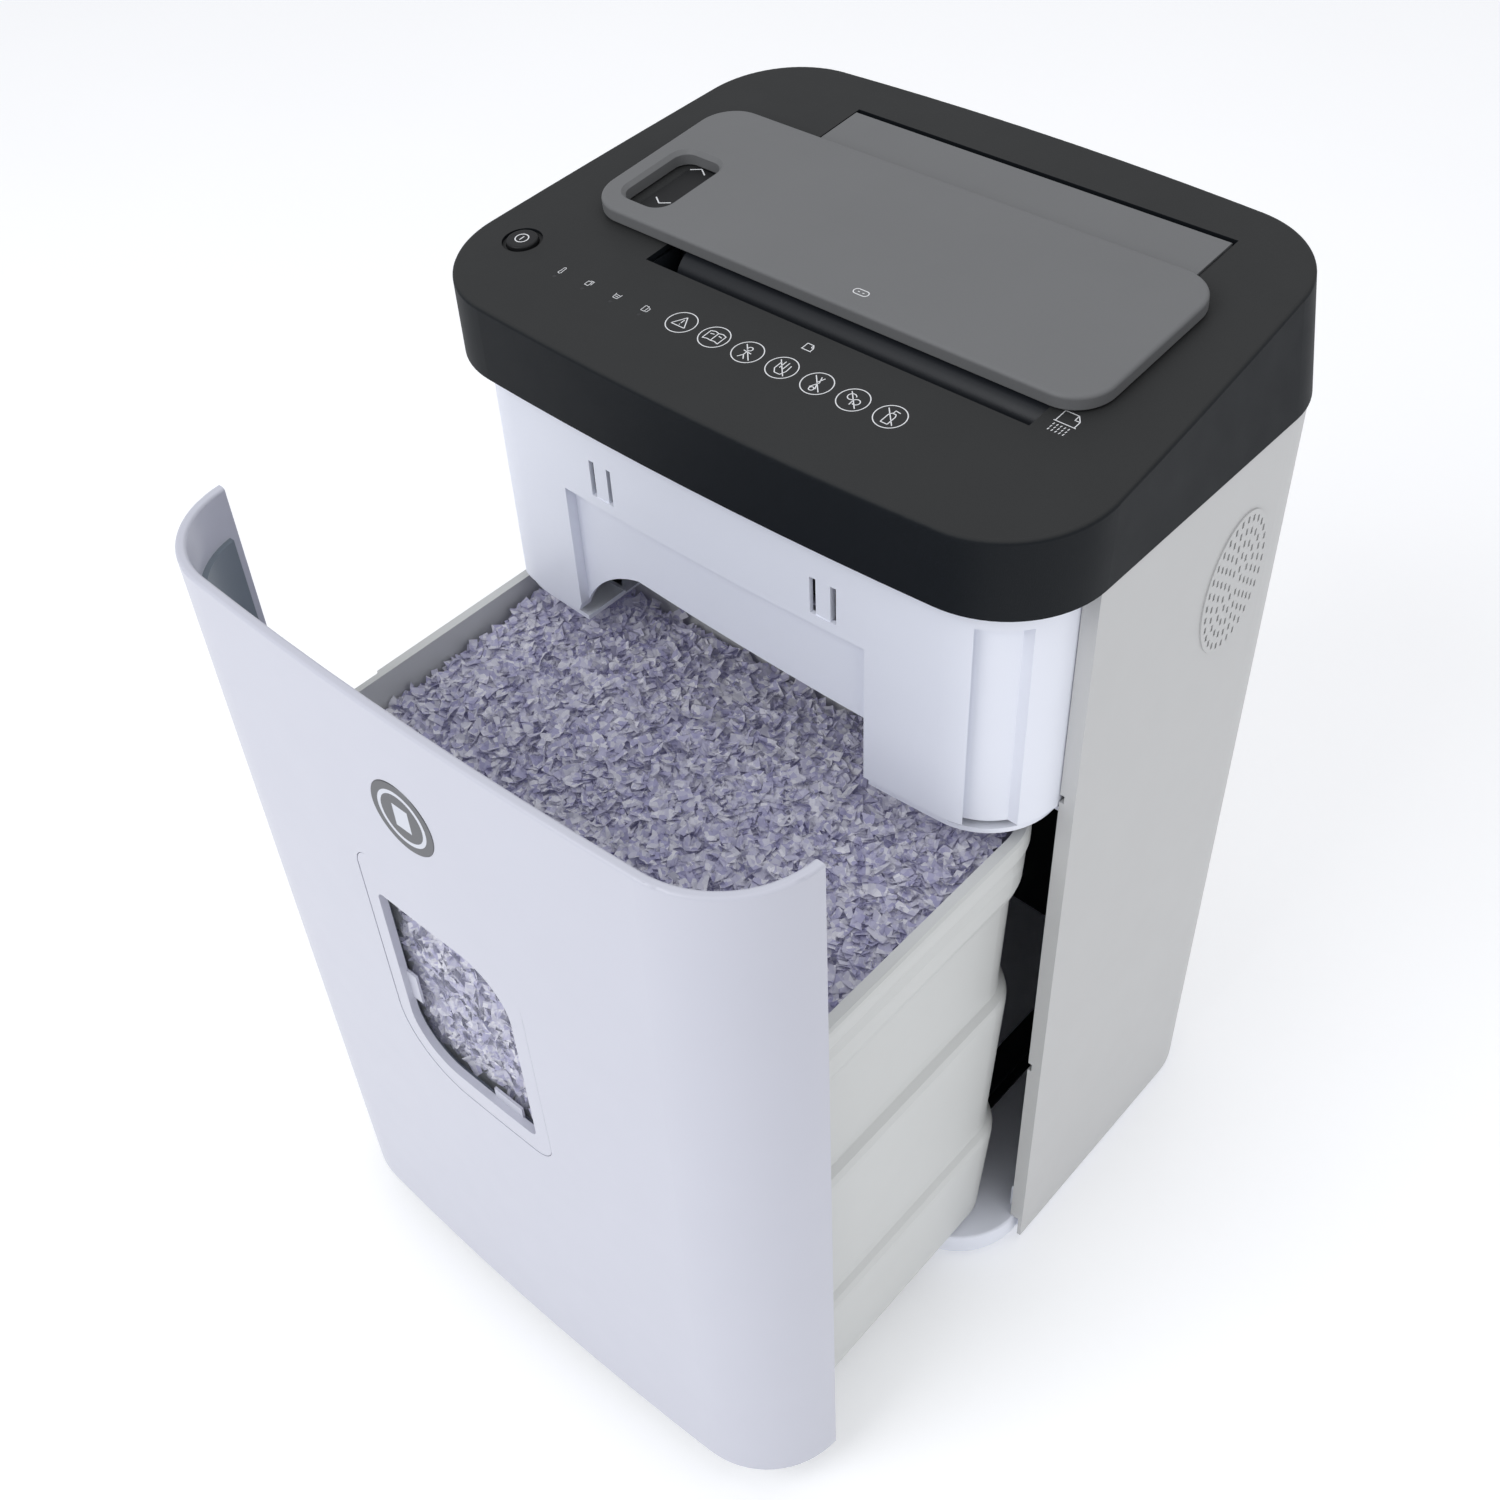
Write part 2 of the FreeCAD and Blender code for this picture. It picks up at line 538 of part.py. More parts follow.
# ------------------------------------------------------------- hood and cabinet
def front_hood():
    z0 = DECK_TOP + 5.0
    z1 = BAND_Z + 10.0
    inner = HOOD_SETBACK + HOOD_WALL
    front = region(y1=PANEL_FRONT + 12.0)
    wall = skin(HOOD_SETBACK, inner, z0, z1).common(front)
    flange = skin(COVER_WALL + SEAT, inner, z1 - 2, z1).common(front)
    # the middle of the skirt is set back behind a step
    left, right, step_z = -99.0, 93.0, BAND_Z - 53.0
    deep = skin(HOOD_SETBACK + HOOD_RECESS, inner + HOOD_RECESS, z0, step_z)
    deep = deep.common(region(y1=0, x0=left - HOOD_WALL, x1=right + HOOD_WALL))
    tread = skin(HOOD_SETBACK, inner + HOOD_RECESS, step_z, step_z + HOOD_WALL)
    tread = tread.common(region(y1=0, x0=left - HOOD_WALL, x1=right + HOOD_WALL))
    cheek = skin(HOOD_SETBACK, inner + HOOD_RECESS, z0, step_z + HOOD_WALL)
    cheeks = [cheek.common(region(y1=0, x0=left - HOOD_WALL, x1=left)),
              cheek.common(region(y1=0, x0=right, x1=right + HOOD_WALL))]
    opening = box(left, right, FRONT_Y - 20, FRONT_Y + 15, z0 - 1, step_z)
    opening = opening.cut(slab(inner + 0.6, z0 - 1, step_z))
    hood = fuse([wall.cut(opening), flange, deep, tread] + cheeks)
    # arched lower edge between the two skirts
    arch_z = z0 + 40.0
    start = V(left - 3, FRONT_Y - 20, z0 - 1)
    crown = V(left + 42, FRONT_Y - 20, arch_z)
    arc = Part.Arc(start, V(left + 17, FRONT_Y - 20, z0 + 27), crown).toShape()
    rest = Part.makePolygon([crown, V(right, FRONT_Y - 20, arch_z - 8), V(right, FRONT_Y - 20, z0 - 1),
                             start])
    arch = Part.Face(Part.Wire([arc] + rest.Edges)).extrude(V(0, 60, 0))
    hood = hood.cut(arch)
    # two latch windows, and a finger channel down each corner
    for x in (-70.0, 70.0):
        hood = hood.cut(box(x - 7.5, x + 7.5, FRONT_Y - 20, FRONT_Y + 30, BAND_Z - 47, BAND_Z - 26))
        hood = fuse([hood, box(x - 4.5, x + 4.0, FRONT_Y + 7.6, FRONT_Y + 11, BAND_Z - 48, BAND_Z - 25)])
    for side in (-1, 1):
        xs = sorted((side * (HALF_W - 42), side * (HALF_W + 5)))
        groove = box(xs[0], xs[1], FRONT_Y + 13, FRONT_Y + 29, z0 - 1, BAND_Z - 14)
        hood = hood.cut(groove.common(skin(HOOD_SETBACK - 1, inner + 1, z0 - 1, z1)))
        back = skin(inner + 2, inner + 4.5, z0, BAND_Z - 12)
        back = back.common(box(xs[0], xs[1], FRONT_Y + 9, FRONT_Y + 33, 0, TOP))
        lips = [skin(HOOD_SETBACK, inner + 4.5, z0,
                     BAND_Z - 12).common(box(xs[0], xs[1], y, y + 2.5, 0, TOP))
                for y in (FRONT_Y + 10.5, FRONT_Y + 29)]
        lid = skin(HOOD_SETBACK, inner + 4.5, BAND_Z - 14, BAND_Z - 11.5)
        lid = lid.common(box(xs[0], xs[1], FRONT_Y + 10.5, FRONT_Y + 31.5, 0, TOP))
        hood = fuse([hood, back, lid] + lips)
    return hood


def vent_slots():
    """Small upright slots set in elliptical rings."""
    cy, cz = vent_centre()
    slots = []
    for ring, (a, b, count) in enumerate(((5, 8, 6), (10, 15.5, 12), (15, 22.5, 18), (20, 29.5, 24),
                                          (25, 36.5, 30))):
        for i in range(count):
            t = 2 * math.pi * (i + 0.5 * (ring % 2)) / count
            y, z = cy + a * math.cos(t), cz + b * math.sin(t)
            slots.append(box(HALF_W - 12, HALF_W + 2, y - 0.9, y + 0.9, z - 2.0, z + 2.0))
    return Part.makeCompound(slots)


def vent_centre():
    return (MOTOR[0] + 7.0, TOP - 116.0)


def vent_pad(x0, x1, grow):
    cy, cz = vent_centre()
    face = Part.Face(Part.Wire(Part.Ellipse(V(0, 0, 0), 41 + grow, 28.5 + grow).toShape()))
    pad = face.extrude(V(0, 0, x1 - x0))
    pad.rotate(V(0, 0, 0), V(0, 1, 0), 90)
    pad.translate(V(x0, cy, cz))
    return pad


def side_panel(side):
    outer, inner = PANEL_SETBACK, PANEL_SETBACK + PANEL_WALL
    seam = HALF_W - CORNER_RADIUS
    xs = (seam, 1000.0) if side > 0 else (-1000.0, -seam)
    z0, z1 = FOOT_HEIGHT, BAND_Z - 0.6
    panel = skin(outer, inner, z0, z1).common(region(y0=PANEL_FRONT, x0=xs[0], x1=xs[1]))
    lip = skin(inner, inner + 1.2, z1 - 20, z1 + 2).common(region(y0=PANEL_FRONT + 4, x0=xs[0], x1=xs[1]))
    edge = HALF_W - PANEL_SETBACK
    fx = sorted((side * edge, side * (edge - 8.4)))
    flange = box(fx[0], fx[1], PANEL_FRONT, PANEL_FRONT + 3, PLINTH_TOP + SEAT, z1)
    panel = fuse([panel, lip, flange])
    nx = sorted((side * (edge - 9), side * (edge - 6)))
    for z, h in ((z1 - 7, 9), (DECK_TOP + 8, 5), (z0 + 170, 6)):
        panel = panel.cut(box(nx[0], nx[1], PANEL_FRONT - 1, PANEL_FRONT + 4, z, z + h))
    if side > 0:
        panel = fuse([panel, vent_pad(edge - 1, edge + 0.8, 0)]).cut(vent_slots())
    return panel


def back_panel():
    seam = HALF_W - CORNER_RADIUS - 0.5
    outer, inner = PANEL_SETBACK, PANEL_SETBACK + PANEL_WALL
    z1 = BAND_Z - 0.6
    panel = skin(outer, inner, FOOT_HEIGHT, z1).common(region(y0=0, x0=-seam, x1=seam))
    lip = skin(inner, inner + 1.2, z1 - 20, z1 + 2).common(region(y0=0, x0=-seam, x1=seam))
    panel = fuse([panel, lip])
    x, z = gland_place()
    holes = [Part.makeCylinder(8 + SEAT, 40, V(x, BACK_Y - 20, z), V(0, 1, 0))]
    holes += [Part.makeCylinder(SCREW_RADIUS + FIT, 40, V(x, BACK_Y - 20, z), V(0, 1, 0)) for x,
              z in screw_places()]
    return panel.cut(holes)


def screw_places():
    return [(sx * SCREW_X, z) for sx in (-1, 1) for z in (40.0, DECK_TOP - 40.0, BAND_Z - 30.0)]


def gland_place():
    return (-HALF_W + 75.0, DECK_TOP + 30.0)


def cabinet_parts():
    keep("top_cover", top_cover())
    keep("front_hood", front_hood())
    keep("left_side_panel", side_panel(-1))
    keep("right_side_panel", side_panel(1))
    keep("back_panel", back_panel())
    liner_in = LINER_SETBACK + LINER_WALL
    rear = region(y0=PANEL_FRONT + 4)
    bay = skin(LINER_SETBACK, liner_in, PLINTH_TOP + 0.5, DECK_BOTTOM - 0.5).common(rear)
    keep("bay_liner", bay)
    upper = skin(LINER_SETBACK, liner_in, DECK_TOP, BAND_Z + 6).common(rear)
    cy, cz = vent_centre()
    upper = upper.cut(box(HALF_W - 20, HALF_W, cy - 29, cy + 29, cz - 42, cz + 42))
    x, z = gland_place()
    upper = upper.cut(Part.makeCylinder(8 + SEAT, 40, V(x, BACK_Y - 20, z), V(0, 1, 0)))
    keep("mechanism_liner", upper)
    deck = slab(LINER_SETBACK, DECK_BOTTOM, DECK_TOP).common(region(y0=PANEL_FRONT + 4))
    tongue = slab(HOOD_SETBACK + 4, DECK_BOTTOM, DECK_TOP).common(region(y1=PANEL_FRONT + 5))
    chute = rounded_box(THROAT_X0, THROAT_X1, FRONT_CUTTER[0] - 22, REAR_CUTTER[0] + 22, DECK_BOTTOM - 1,
                        DECK_TOP + 1, 6)
    arch = box(-99, 93, FRONT_Y - 5, FRONT_CUTTER[0] - 15, DECK_BOTTOM - 1, DECK_TOP + 1)
    keep("deck_plate", fuse([deck, tongue]).cut([chute, arch]))
    plinth_front = slab(PLINTH_SETBACK, FOOT_HEIGHT, PLINTH_TOP).common(region(y1=PANEL_FRONT + 6))
    plinth_rear = slab(PANEL_SETBACK + PANEL_WALL + 0.2, FOOT_HEIGHT, PLINTH_TOP)
    plinth_rear = plinth_rear.common(region(y0=PANEL_FRONT + 5))
    guides = []
    for side in (-1, 1):
        xs = sorted((side * (TUB_HALF + 3), side * (HALF_W - LINER_SETBACK - LINER_WALL - SEAT)))
        guides.append(box(xs[0], xs[1], PANEL_FRONT + 6, PANEL_FRONT + 66, PLINTH_TOP - 1, PLINTH_TOP + 20))
    plinth = fuse([plinth_front, plinth_rear] + guides)
    keep("plinth", filleted(plinth, 1.5, lambda e: e.BoundBox.YMax < PANEL_FRONT + 6
                            and e.BoundBox.ZMin > PLINTH_TOP - 0.1 and e.BoundBox.ZMax < PLINTH_TOP + 0.1
                            and e.Length > 30))
    feet = [rod_z(sx * (HALF_W - 38), sy * (CABINET_DEPTH / 2 - 36), 0, FOOT_HEIGHT, FOOT_RADIUS)
            for sx in (-1, 1) for sy in (-1, 1)]
    keep("feet", *feet)
    rails = []
    for side in (-1, 1):
        x = side * RAIL_X
        y0, y1 = TUB_Y0 + 6, TUB_Y1 - 2
        rails.append(fuse([box(x - 12, x + 12, y0, y1, PLINTH_TOP, PLINTH_TOP + 2),
                           box(x - 3, x + 3, y0, y1, PLINTH_TOP + 1.5, PLINTH_TOP + 7),
                           box(x - 8, x + 8, y0, y1, PLINTH_TOP + 6.5, PLINTH_TOP + 9.5)]))
    keep("slide_rails", *rails)
    x, z = gland_place()
    gland_y = back_surface(abs(x) - 12) + SEAT / 4
    flange = Part.makeCylinder(12, 3, V(x, gland_y, z), V(0, 1, 0))
    sleeve = Part.makeCylinder(8, 14, V(x, gland_y - 13, z), V(0, 1, 0))
    bore = Part.makeCylinder(3.8, 40, V(x, gland_y - 20, z), V(0, 1, 0))
    keep("cord_gland", fuse([flange, sleeve]).cut(bore))
    screws = []
    for sx, sz in screw_places():
        face_y = back_surface(SCREW_X - 3.5) + FIT
        head = Part.makeCylinder(3.5, 1.8, V(sx, face_y, sz), V(0, 1, 0))
        shank = Part.makeCylinder(SCREW_RADIUS, 3.4, V(sx, face_y - 3.2, sz), V(0, 1, 0))
        slot = box(sx - 0.5, sx + 0.5, face_y + 0.9, face_y + 3, sz - 2.4, sz + 2.4)
        screws.append(fuse([head, shank]).cut(slot))
    keep("back_panel_screws", *screws)


def back_surface(x):
    """y of the back panel's outer face at x."""
    reach = HALF_W - CORNER_RADIUS
    bow_radius = CORNER_RADIUS + (reach ** 2 + FACE_BOW ** 2) / (2 * FACE_BOW)
    return BACK_Y + FACE_BOW - bow_radius + math.sqrt((bow_radius - PANEL_SETBACK) ** 2 - x ** 2)


# -------------------------------------------------------------- paper path pieces
def feed_parts():
    t = TRAY_WALL
    x0, x1 = THROAT_X0 - t, THROAT_X1 + t
    roof = on_top(box(x0 - 5, x1 + 5, FRONT_Y, BACK_Y, -COVER_WALL - 0.5, 80))
    floor = TRAY_FLOOR
    outer = [(TRAY_Y0 - t, TOP + 60), (TRAY_Y0 - t, floor - t), (POCKET_Y0 - t, floor - t),
             (POCKET_Y0 - t, POCKET_BOTTOM - t), (POCKET_Y1 + t, POCKET_BOTTOM - t), (POCKET_Y1 + t,
                                                                                      floor - 10),
             (TRAY_Y1 + t, floor + 6), (TRAY_Y1 + t, TOP + 60)]
    inner = [(TRAY_Y0, TOP + 61), (TRAY_Y0, floor), (POCKET_Y0 - 4, floor), (POCKET_Y0, floor - 5),
             (POCKET_Y0, POCKET_BOTTOM), (POCKET_Y1, POCKET_BOTTOM), (POCKET_Y1, floor - 9),
             (TRAY_Y1, floor + 7), (TRAY_Y1, TOP + 61)]
    tray = polygon_yz(outer, x0, x1).cut(polygon_yz(inner, THROAT_X0, THROAT_X1)).cut(roof)
    cut = [box(THROAT_X0 + 3, THROAT_X1 - 3, TRAY_Y0 - t - 1, TRAY_Y0 + 1, floor + 1.5, floor + 10)]
    for x in roller_xs():
        half = ROLLER_WIDTH / 2 + 2
        cut.append(box(x - half, x + half, ROLLER[0] - 12, ROLLER[0] + 12, floor - t - 1, floor + 1))
    tray = tray.cut(cut)
    hinge_clear = on_top(rod_x(x0 - 10, x1 + 10, HINGE_Y, HINGE_H, HINGE_BARREL_RADIUS + 6.5))
    tray = tray.cut(hinge_clear)
    keep("feed_tray", max(tray.Solids, key=lambda s: s.Volume))
    keep("feed_ramp", feed_ramp())
    cz = NIP_Z + CUTTER_RADIUS + 2
    x0, x1 = THROAT_X0 - t, THROAT_X1 + t
    zf = top_point(SLOT_Y0, -COVER_WALL - 0.6)[1]
    front = polygon_yz([(SLOT_Y0 - t, zf), (SLOT_Y0, zf), (SLOT_Y0, zf - 34), (NIP_Y - 5, cz),
                        (NIP_Y - 5 - t, cz),
                        (SLOT_Y0 - t, zf - 33)], x0, x1)
    rear_top = floor - 3
    rear = polygon_yz([(SLOT_Y1 - 1, rear_top), (SLOT_Y1 - 1 + t, rear_top), (NIP_Y + 6 + t, cz),
                       (NIP_Y + 6, cz)],
                      x0, x1)
    side = [(SLOT_Y0 - t, zf), (SLOT_Y1 - 1 + t, zf), (SLOT_Y1 - 1 + t, rear_top), (NIP_Y + 6 + t, cz),
            (NIP_Y - 5 - t, cz), (SLOT_Y0 - t, zf - 33)]
    cheeks = [polygon_yz(side, x0, THROAT_X0), polygon_yz(side, THROAT_X1, x1)]
    keep("throat_chute", fuse([front, rear] + cheeks))


def feed_ramp():
    """Convex guide that carries sheets over the tray's front wall and down into the slot."""
    wall = 2.6
    top = (SLOT_Y1, -0.8)
    bulge = (SLOT_Y0 + 12.0, -4.2)
    nose = (SLOT_Y0 + 7.5, -12.0)
    foot = (SLOT_Y0 + 7.2, -16.5)
    upper = Part.Arc(V(0, *top), V(0, *bulge), V(0, *nose)).toShape()
    lower = Part.Arc(V(0, top[0] - wall, top[1] - wall - 0.4), V(0, bulge[0] + 1.9, bulge[1] - 1.9),
                     V(0, nose[0] + wall, nose[1])).toShape()
    lip = [V(0, *nose), V(0, *foot), V(0, foot[0] + wall, foot[1]), V(0, nose[0] + wall, nose[1])]
    flange = [V(0, *top), V(0, top[0], -11.0), V(0, top[0] - wall, -11.0),
              V(0, top[0] - wall, top[1] - wall - 0.4)]
    edges = [upper, lower] + Part.makePolygon(lip).Edges + Part.makePolygon(flange).Edges
    ramp = Part.Face(Part.Wire(Part.sortEdges(edges)[0])).extrude(V(THROAT_WIDTH - 11.0, 0, 0))
    ramp.translate(V(THROAT_X0 + 11.0, 0, 0))
    return on_top(ramp)


def roller_xs():
    return [THROAT_CENTRE_X - 57.0, THROAT_CENTRE_X, THROAT_CENTRE_X + 57.0]


# ------------------------------------------------------------------------- gears
def tooth_outline(module, teeth, phase):
    """Corner points of an involute spur gear; phase is the direction of one tooth's middle, in radians."""
    pitch = module * teeth / 2
    base = pitch * math.cos(math.radians(20))
    tip = pitch + 0.8 * module
    root = pitch - 1.15 * module
    half = math.pi / (2 * teeth) - 0.055 * module / pitch
    inv = math.tan(math.radians(20)) - math.radians(20)

    def half_angle(r):
        if r <= base:
            return half + inv
        a = math.acos(base / r)
        return half + inv - (math.tan(a) - a)

    points = []
    radii = [root, max(root, base), (pitch + max(root, base)) / 2, pitch, (pitch + tip) / 2, tip]
    for i in range(teeth):
        mid = phase + 2 * math.pi * i / teeth
        flank = [(r, half_angle(r)) for r in radii]
        for r, h in flank:
            points.append((r * math.cos(mid - h), r * math.sin(mid - h)))
        for r, h in reversed(flank):
            points.append((r * math.cos(mid + h), r * math.sin(mid + h)))
    return points


def gear(module, teeth, phase, centre, x0, width, bore):
    points = [(centre[0] + y, centre[1] + z) for y, z in tooth_outline(module, teeth, phase)]
    clean = [p for p, q in zip(points, points[1:] + points[:1]) if math.dist(p, q) > 1e-4]
    blank = polygon_yz(clean, x0, x0 + width)
    if bore:
        blank = blank.cut(rod_x(x0 - 1, x0 + width + 1, centre[0], centre[1], bore))
    return blank


def direction(a, b):
    return math.atan2(b[1] - a[1], b[0] - a[0])


def meshed_phase(a, teeth_a, phase_a, b, teeth_b):
    """Phase of the gear at b whose gaps meet the teeth of the gear at a."""
    theta = direction(a, b)
    turn = teeth_a * (theta - phase_a) / (2 * math.pi)
    return theta + math.pi - 2 * math.pi * (0.5 - turn) / teeth_b


def third_centre(a, reach_a, b, reach_b, side):
    """Point at the given distances from a and b, on one side of the line between them."""
    d = math.dist(a, b)
    along = (d * d + reach_a ** 2 - reach_b ** 2) / (2 * d)
    off = math.sqrt(reach_a ** 2 - along ** 2)
    ux, uy = (b[0] - a[0]) / d, (b[1] - a[1]) / d
    return (a[0] + along * ux - side * off * uy, a[1] + along * uy + side * off * ux)


def reach(module, teeth_a, teeth_b):
    return module * (teeth_a + teeth_b) / 2


def drive_train():
    """Centres and phases of the two reduction gears, the motor pinion and the idler."""
    lean = math.radians(45)
    span = reach(MODULE_CUTTER, TEETH_DRIVE, TEETH_SECOND_PINION)
    second = (REAR_CUTTER[0] + span * math.cos(lean), REAR_CUTTER[1] + span * math.sin(lean))
    first = third_centre(second, reach(MODULE_MIDDLE, TEETH_SECOND, TEETH_FIRST_PINION),
                         MOTOR, reach(MODULE_MOTOR, TEETH_FIRST, TEETH_PINION), 1)
    idler = third_centre(REAR_CUTTER, reach(MODULE_SYNC, TEETH_SYNC, TEETH_IDLER),
                         ROLLER, reach(MODULE_SYNC, TEETH_IDLER, TEETH_ROLLER), -1)
    return first, second, idler


def cutter(centre, first_x, name, x_left, x_right):
    """Milled cutter: a core with toothed discs, and a journal at each end."""
    y, z = centre
    count = int((THROAT_WIDTH - 8) / DISC_PITCH) + 1
    solids = [rod_x(x_left, x_right, y, z, JOURNAL_RADIUS),
              rod_x(THROAT_X0 + 1, THROAT_X1 - 1, y, z, CUTTER_CORE_RADIUS)]
    teeth = 8
    for i in range(count):
        points = []
        for k in range(teeth):
            a = 2 * math.pi * k / teeth + i * math.radians(9)
            for da, r in ((0.0, CUTTER_RADIUS), (0.22, CUTTER_RADIUS * 0.985),
                          (0.44, CUTTER_RADIUS * 0.955),
                          (0.60, CUTTER_RADIUS * 0.93), (0.70, CUTTER_RADIUS * 0.80)):
                points.append((y + r * math.cos(a + da), z + r * math.sin(a + da)))
        x = first_x + i * DISC_PITCH
        solids.append(polygon_yz(points, x, x + DISC_THICKNESS))
    keep(name, solids[0].fuse(solids[1:]))


def stripper(centre, first_x, outward):
    """Comb whose fingers stand between the discs of one cutter."""
    y, z = centre
    ya = y + outward * (CUTTER_CORE_RADIUS + 0.8)
    yb = y + outward * (CUTTER_RADIUS + 3)
    yc = y + outward * (CUTTER_RADIUS + 7)
    solids = [box(FRAME_X0, FRAME_X1, min(yb, yc), max(yb, yc), z - 12, z + 12)]
    count = int((THROAT_WIDTH - 8) / DISC_PITCH)
    gap = DISC_PITCH - DISC_THICKNESS
    for i in range(count):
        x = first_x + i * DISC_PITCH + DISC_THICKNESS + SEAT
        solids.append(box(x, x + gap - 2 * SEAT, min(ya, yb) - 0.2, max(ya, yb) + 0.2, z - 5, z + 5))
    return fuse(solids)


def mechanism_parts():
    first, second, idler = drive_train()
    left, right = FRAME_X0, FRAME_X1
    lay1 = left - FRAME_WALL - GEAR_GAP - WIDTH_MOTOR_PAIR
    lay2 = lay1 - GEAR_GAP - WIDTH_MIDDLE_PAIR
    lay3 = lay2 - GEAR_GAP - WIDTH_CUTTER_PAIR
    sync = right + FRAME_WALL + GEAR_GAP
    x_first = THROAT_X0 + 3
    cutter(FRONT_CUTTER, x_first, "front_cutter", left - FRAME_WALL - 2, sync + WIDTH_SYNC + 1)
    cutter(REAR_CUTTER, x_first + DISC_PITCH / 2, "rear_cutter", lay3 - 2, sync + WIDTH_SYNC + 1)
    keep("front_stripper", stripper(FRONT_CUTTER, x_first, -1))
    keep("rear_stripper", stripper(REAR_CUTTER, x_first + DISC_PITCH / 2, 1))
    bore = JOURNAL_RADIUS + 0.02
    turn = math.radians(3)
    keep("rear_sync_gear", gear(MODULE_SYNC, TEETH_SYNC, turn, REAR_CUTTER, sync, WIDTH_SYNC, bore))
    phase = meshed_phase(REAR_CUTTER, TEETH_SYNC, turn, FRONT_CUTTER, TEETH_SYNC)
    keep("front_sync_gear", gear(MODULE_SYNC, TEETH_SYNC, phase, FRONT_CUTTER, sync, WIDTH_SYNC, bore))
    phase_i = meshed_phase(REAR_CUTTER, TEETH_SYNC, turn, idler, TEETH_IDLER)
    idler_gear = gear(MODULE_SYNC, TEETH_IDLER, phase_i, idler, sync, WIDTH_SYNC, AXLE_RADIUS + FIT)
    keep("idler_gear", lightened(idler_gear, idler, sync, WIDTH_SYNC, 9, 18))
    phase_r = meshed_phase(idler, TEETH_IDLER, phase_i, ROLLER, TEETH_ROLLER)
    roller_gear = gear(MODULE_SYNC, TEETH_ROLLER, phase_r, ROLLER, sync, WIDTH_SYNC, 0)
    shaft = rod_x(left - FRAME_WALL - 2, sync + 1, ROLLER[0], ROLLER[1], AXLE_RADIUS)
    keep("feed_roller_shaft", fuse([shaft, roller_gear]))
    rollers = []
    for x in roller_xs():
        tyre = rod_x(x - ROLLER_WIDTH / 2, x + ROLLER_WIDTH / 2, ROLLER[0], ROLLER[1], ROLLER_RADIUS)
        rollers.append(tyre.cut(rod_x(x - 20, x + 20, ROLLER[0], ROLLER[1], AXLE_RADIUS + 0.02)))
    keep("feed_rollers", *rollers)
    drive_phase = math.radians(2)
    drive = gear(MODULE_CUTTER, TEETH_DRIVE, drive_phase, REAR_CUTTER, lay3, WIDTH_CUTTER_PAIR, bore)
    keep("cutter_drive_gear", lightened(drive, REAR_CUTTER, lay3, WIDTH_CUTTER_PAIR, 13, 24))
    p2 = meshed_phase(REAR_CUTTER, TEETH_DRIVE, drive_phase, second, TEETH_SECOND_PINION)
    pinion2 = gear(MODULE_CUTTER, TEETH_SECOND_PINION, p2, second, lay3,
                   WIDTH_CUTTER_PAIR + GEAR_GAP + 1, 0)
    wheel2 = gear(MODULE_MIDDLE, TEETH_SECOND, p2, second, lay2, WIDTH_MIDDLE_PAIR, 0)
    keep("second_reduction_gear", bored(fuse([pinion2, wheel2]), second, lay3))
    p1 = meshed_phase(second, TEETH_SECOND, p2, first, TEETH_FIRST_PINION)
    pinion1 = gear(MODULE_MIDDLE, TEETH_FIRST_PINION, p1, first, lay2, WIDTH_MIDDLE_PAIR + GEAR_GAP + 1, 0)
    wheel1 = gear(MODULE_MOTOR, TEETH_FIRST, p1, first, lay1, WIDTH_MOTOR_PAIR, 0)
    keep("first_reduction_gear", bored(fuse([pinion1, wheel1]), first, lay2))
    pm = meshed_phase(first, TEETH_FIRST, p1, MOTOR, TEETH_PINION)
    pinion = gear(MODULE_MOTOR, TEETH_PINION, pm, MOTOR, lay1, WIDTH_MOTOR_PAIR, 0)
    shaft = rod_x(lay1, FAN_X1 - 2, MOTOR[0], MOTOR[1], MOTOR_SHAFT_RADIUS)
    keep("motor_rotor", fuse([pinion, shaft]))
    hub = rod_x(FAN_X0, FAN_X1, MOTOR[0], MOTOR[1], 10)
    plate = rod_x(FAN_X0, FAN_X0 + 1.5, MOTOR[0], MOTOR[1], FAN_RADIUS)
    blades = []
    for i in range(9):
        blade = box(FAN_X0 + 1, FAN_X1 - 1, MOTOR[0] + 9, MOTOR[0] + FAN_RADIUS - 0.5, MOTOR[1] - 0.8,
                    MOTOR[1] + 0.8)
        blade.rotate(V(0, MOTOR[0], MOTOR[1]), V(1, 0, 0), 40.0 * i)
        blades.append(blade)
    fan = fuse([hub, plate] + blades)
    keep("cooling_fan", fan.cut(rod_x(FAN_X0 - 1, FAN_X1 + 1, MOTOR[0], MOTOR[1],
                                      MOTOR_SHAFT_RADIUS + 0.02)))
    axles = []
    for centre, inner_x in ((first, lay2 - 1), (second, lay3 - 1)):
        axles.append(rod_x(inner_x, left, centre[0], centre[1], AXLE_RADIUS))
    axles.append(rod_x(right, sync + WIDTH_SYNC + 1, idler[0], idler[1], AXLE_RADIUS))
    keep("gear_axles", *axles)
    frame_parts(first, second, idler, lay3)


def bored(blank, centre, x0):
    return blank.cut(rod_x(x0 - 1, x0 + 60, centre[0], centre[1], AXLE_RADIUS + FIT))


def lightened(blank, centre, x0, width, r_in, r_out):
    """Shallow ring recess in each face of a wide gear."""
    depth = width * 0.25
    for x in (x0 - 0.1, x0 + width - depth + 0.1):
        ring = rod_x(x, x + depth, centre[0], centre[1], r_out)
        blank = blank.cut(ring.cut(rod_x(x - 1, x + depth + 1, centre[0], centre[1], r_in)))
    return blank


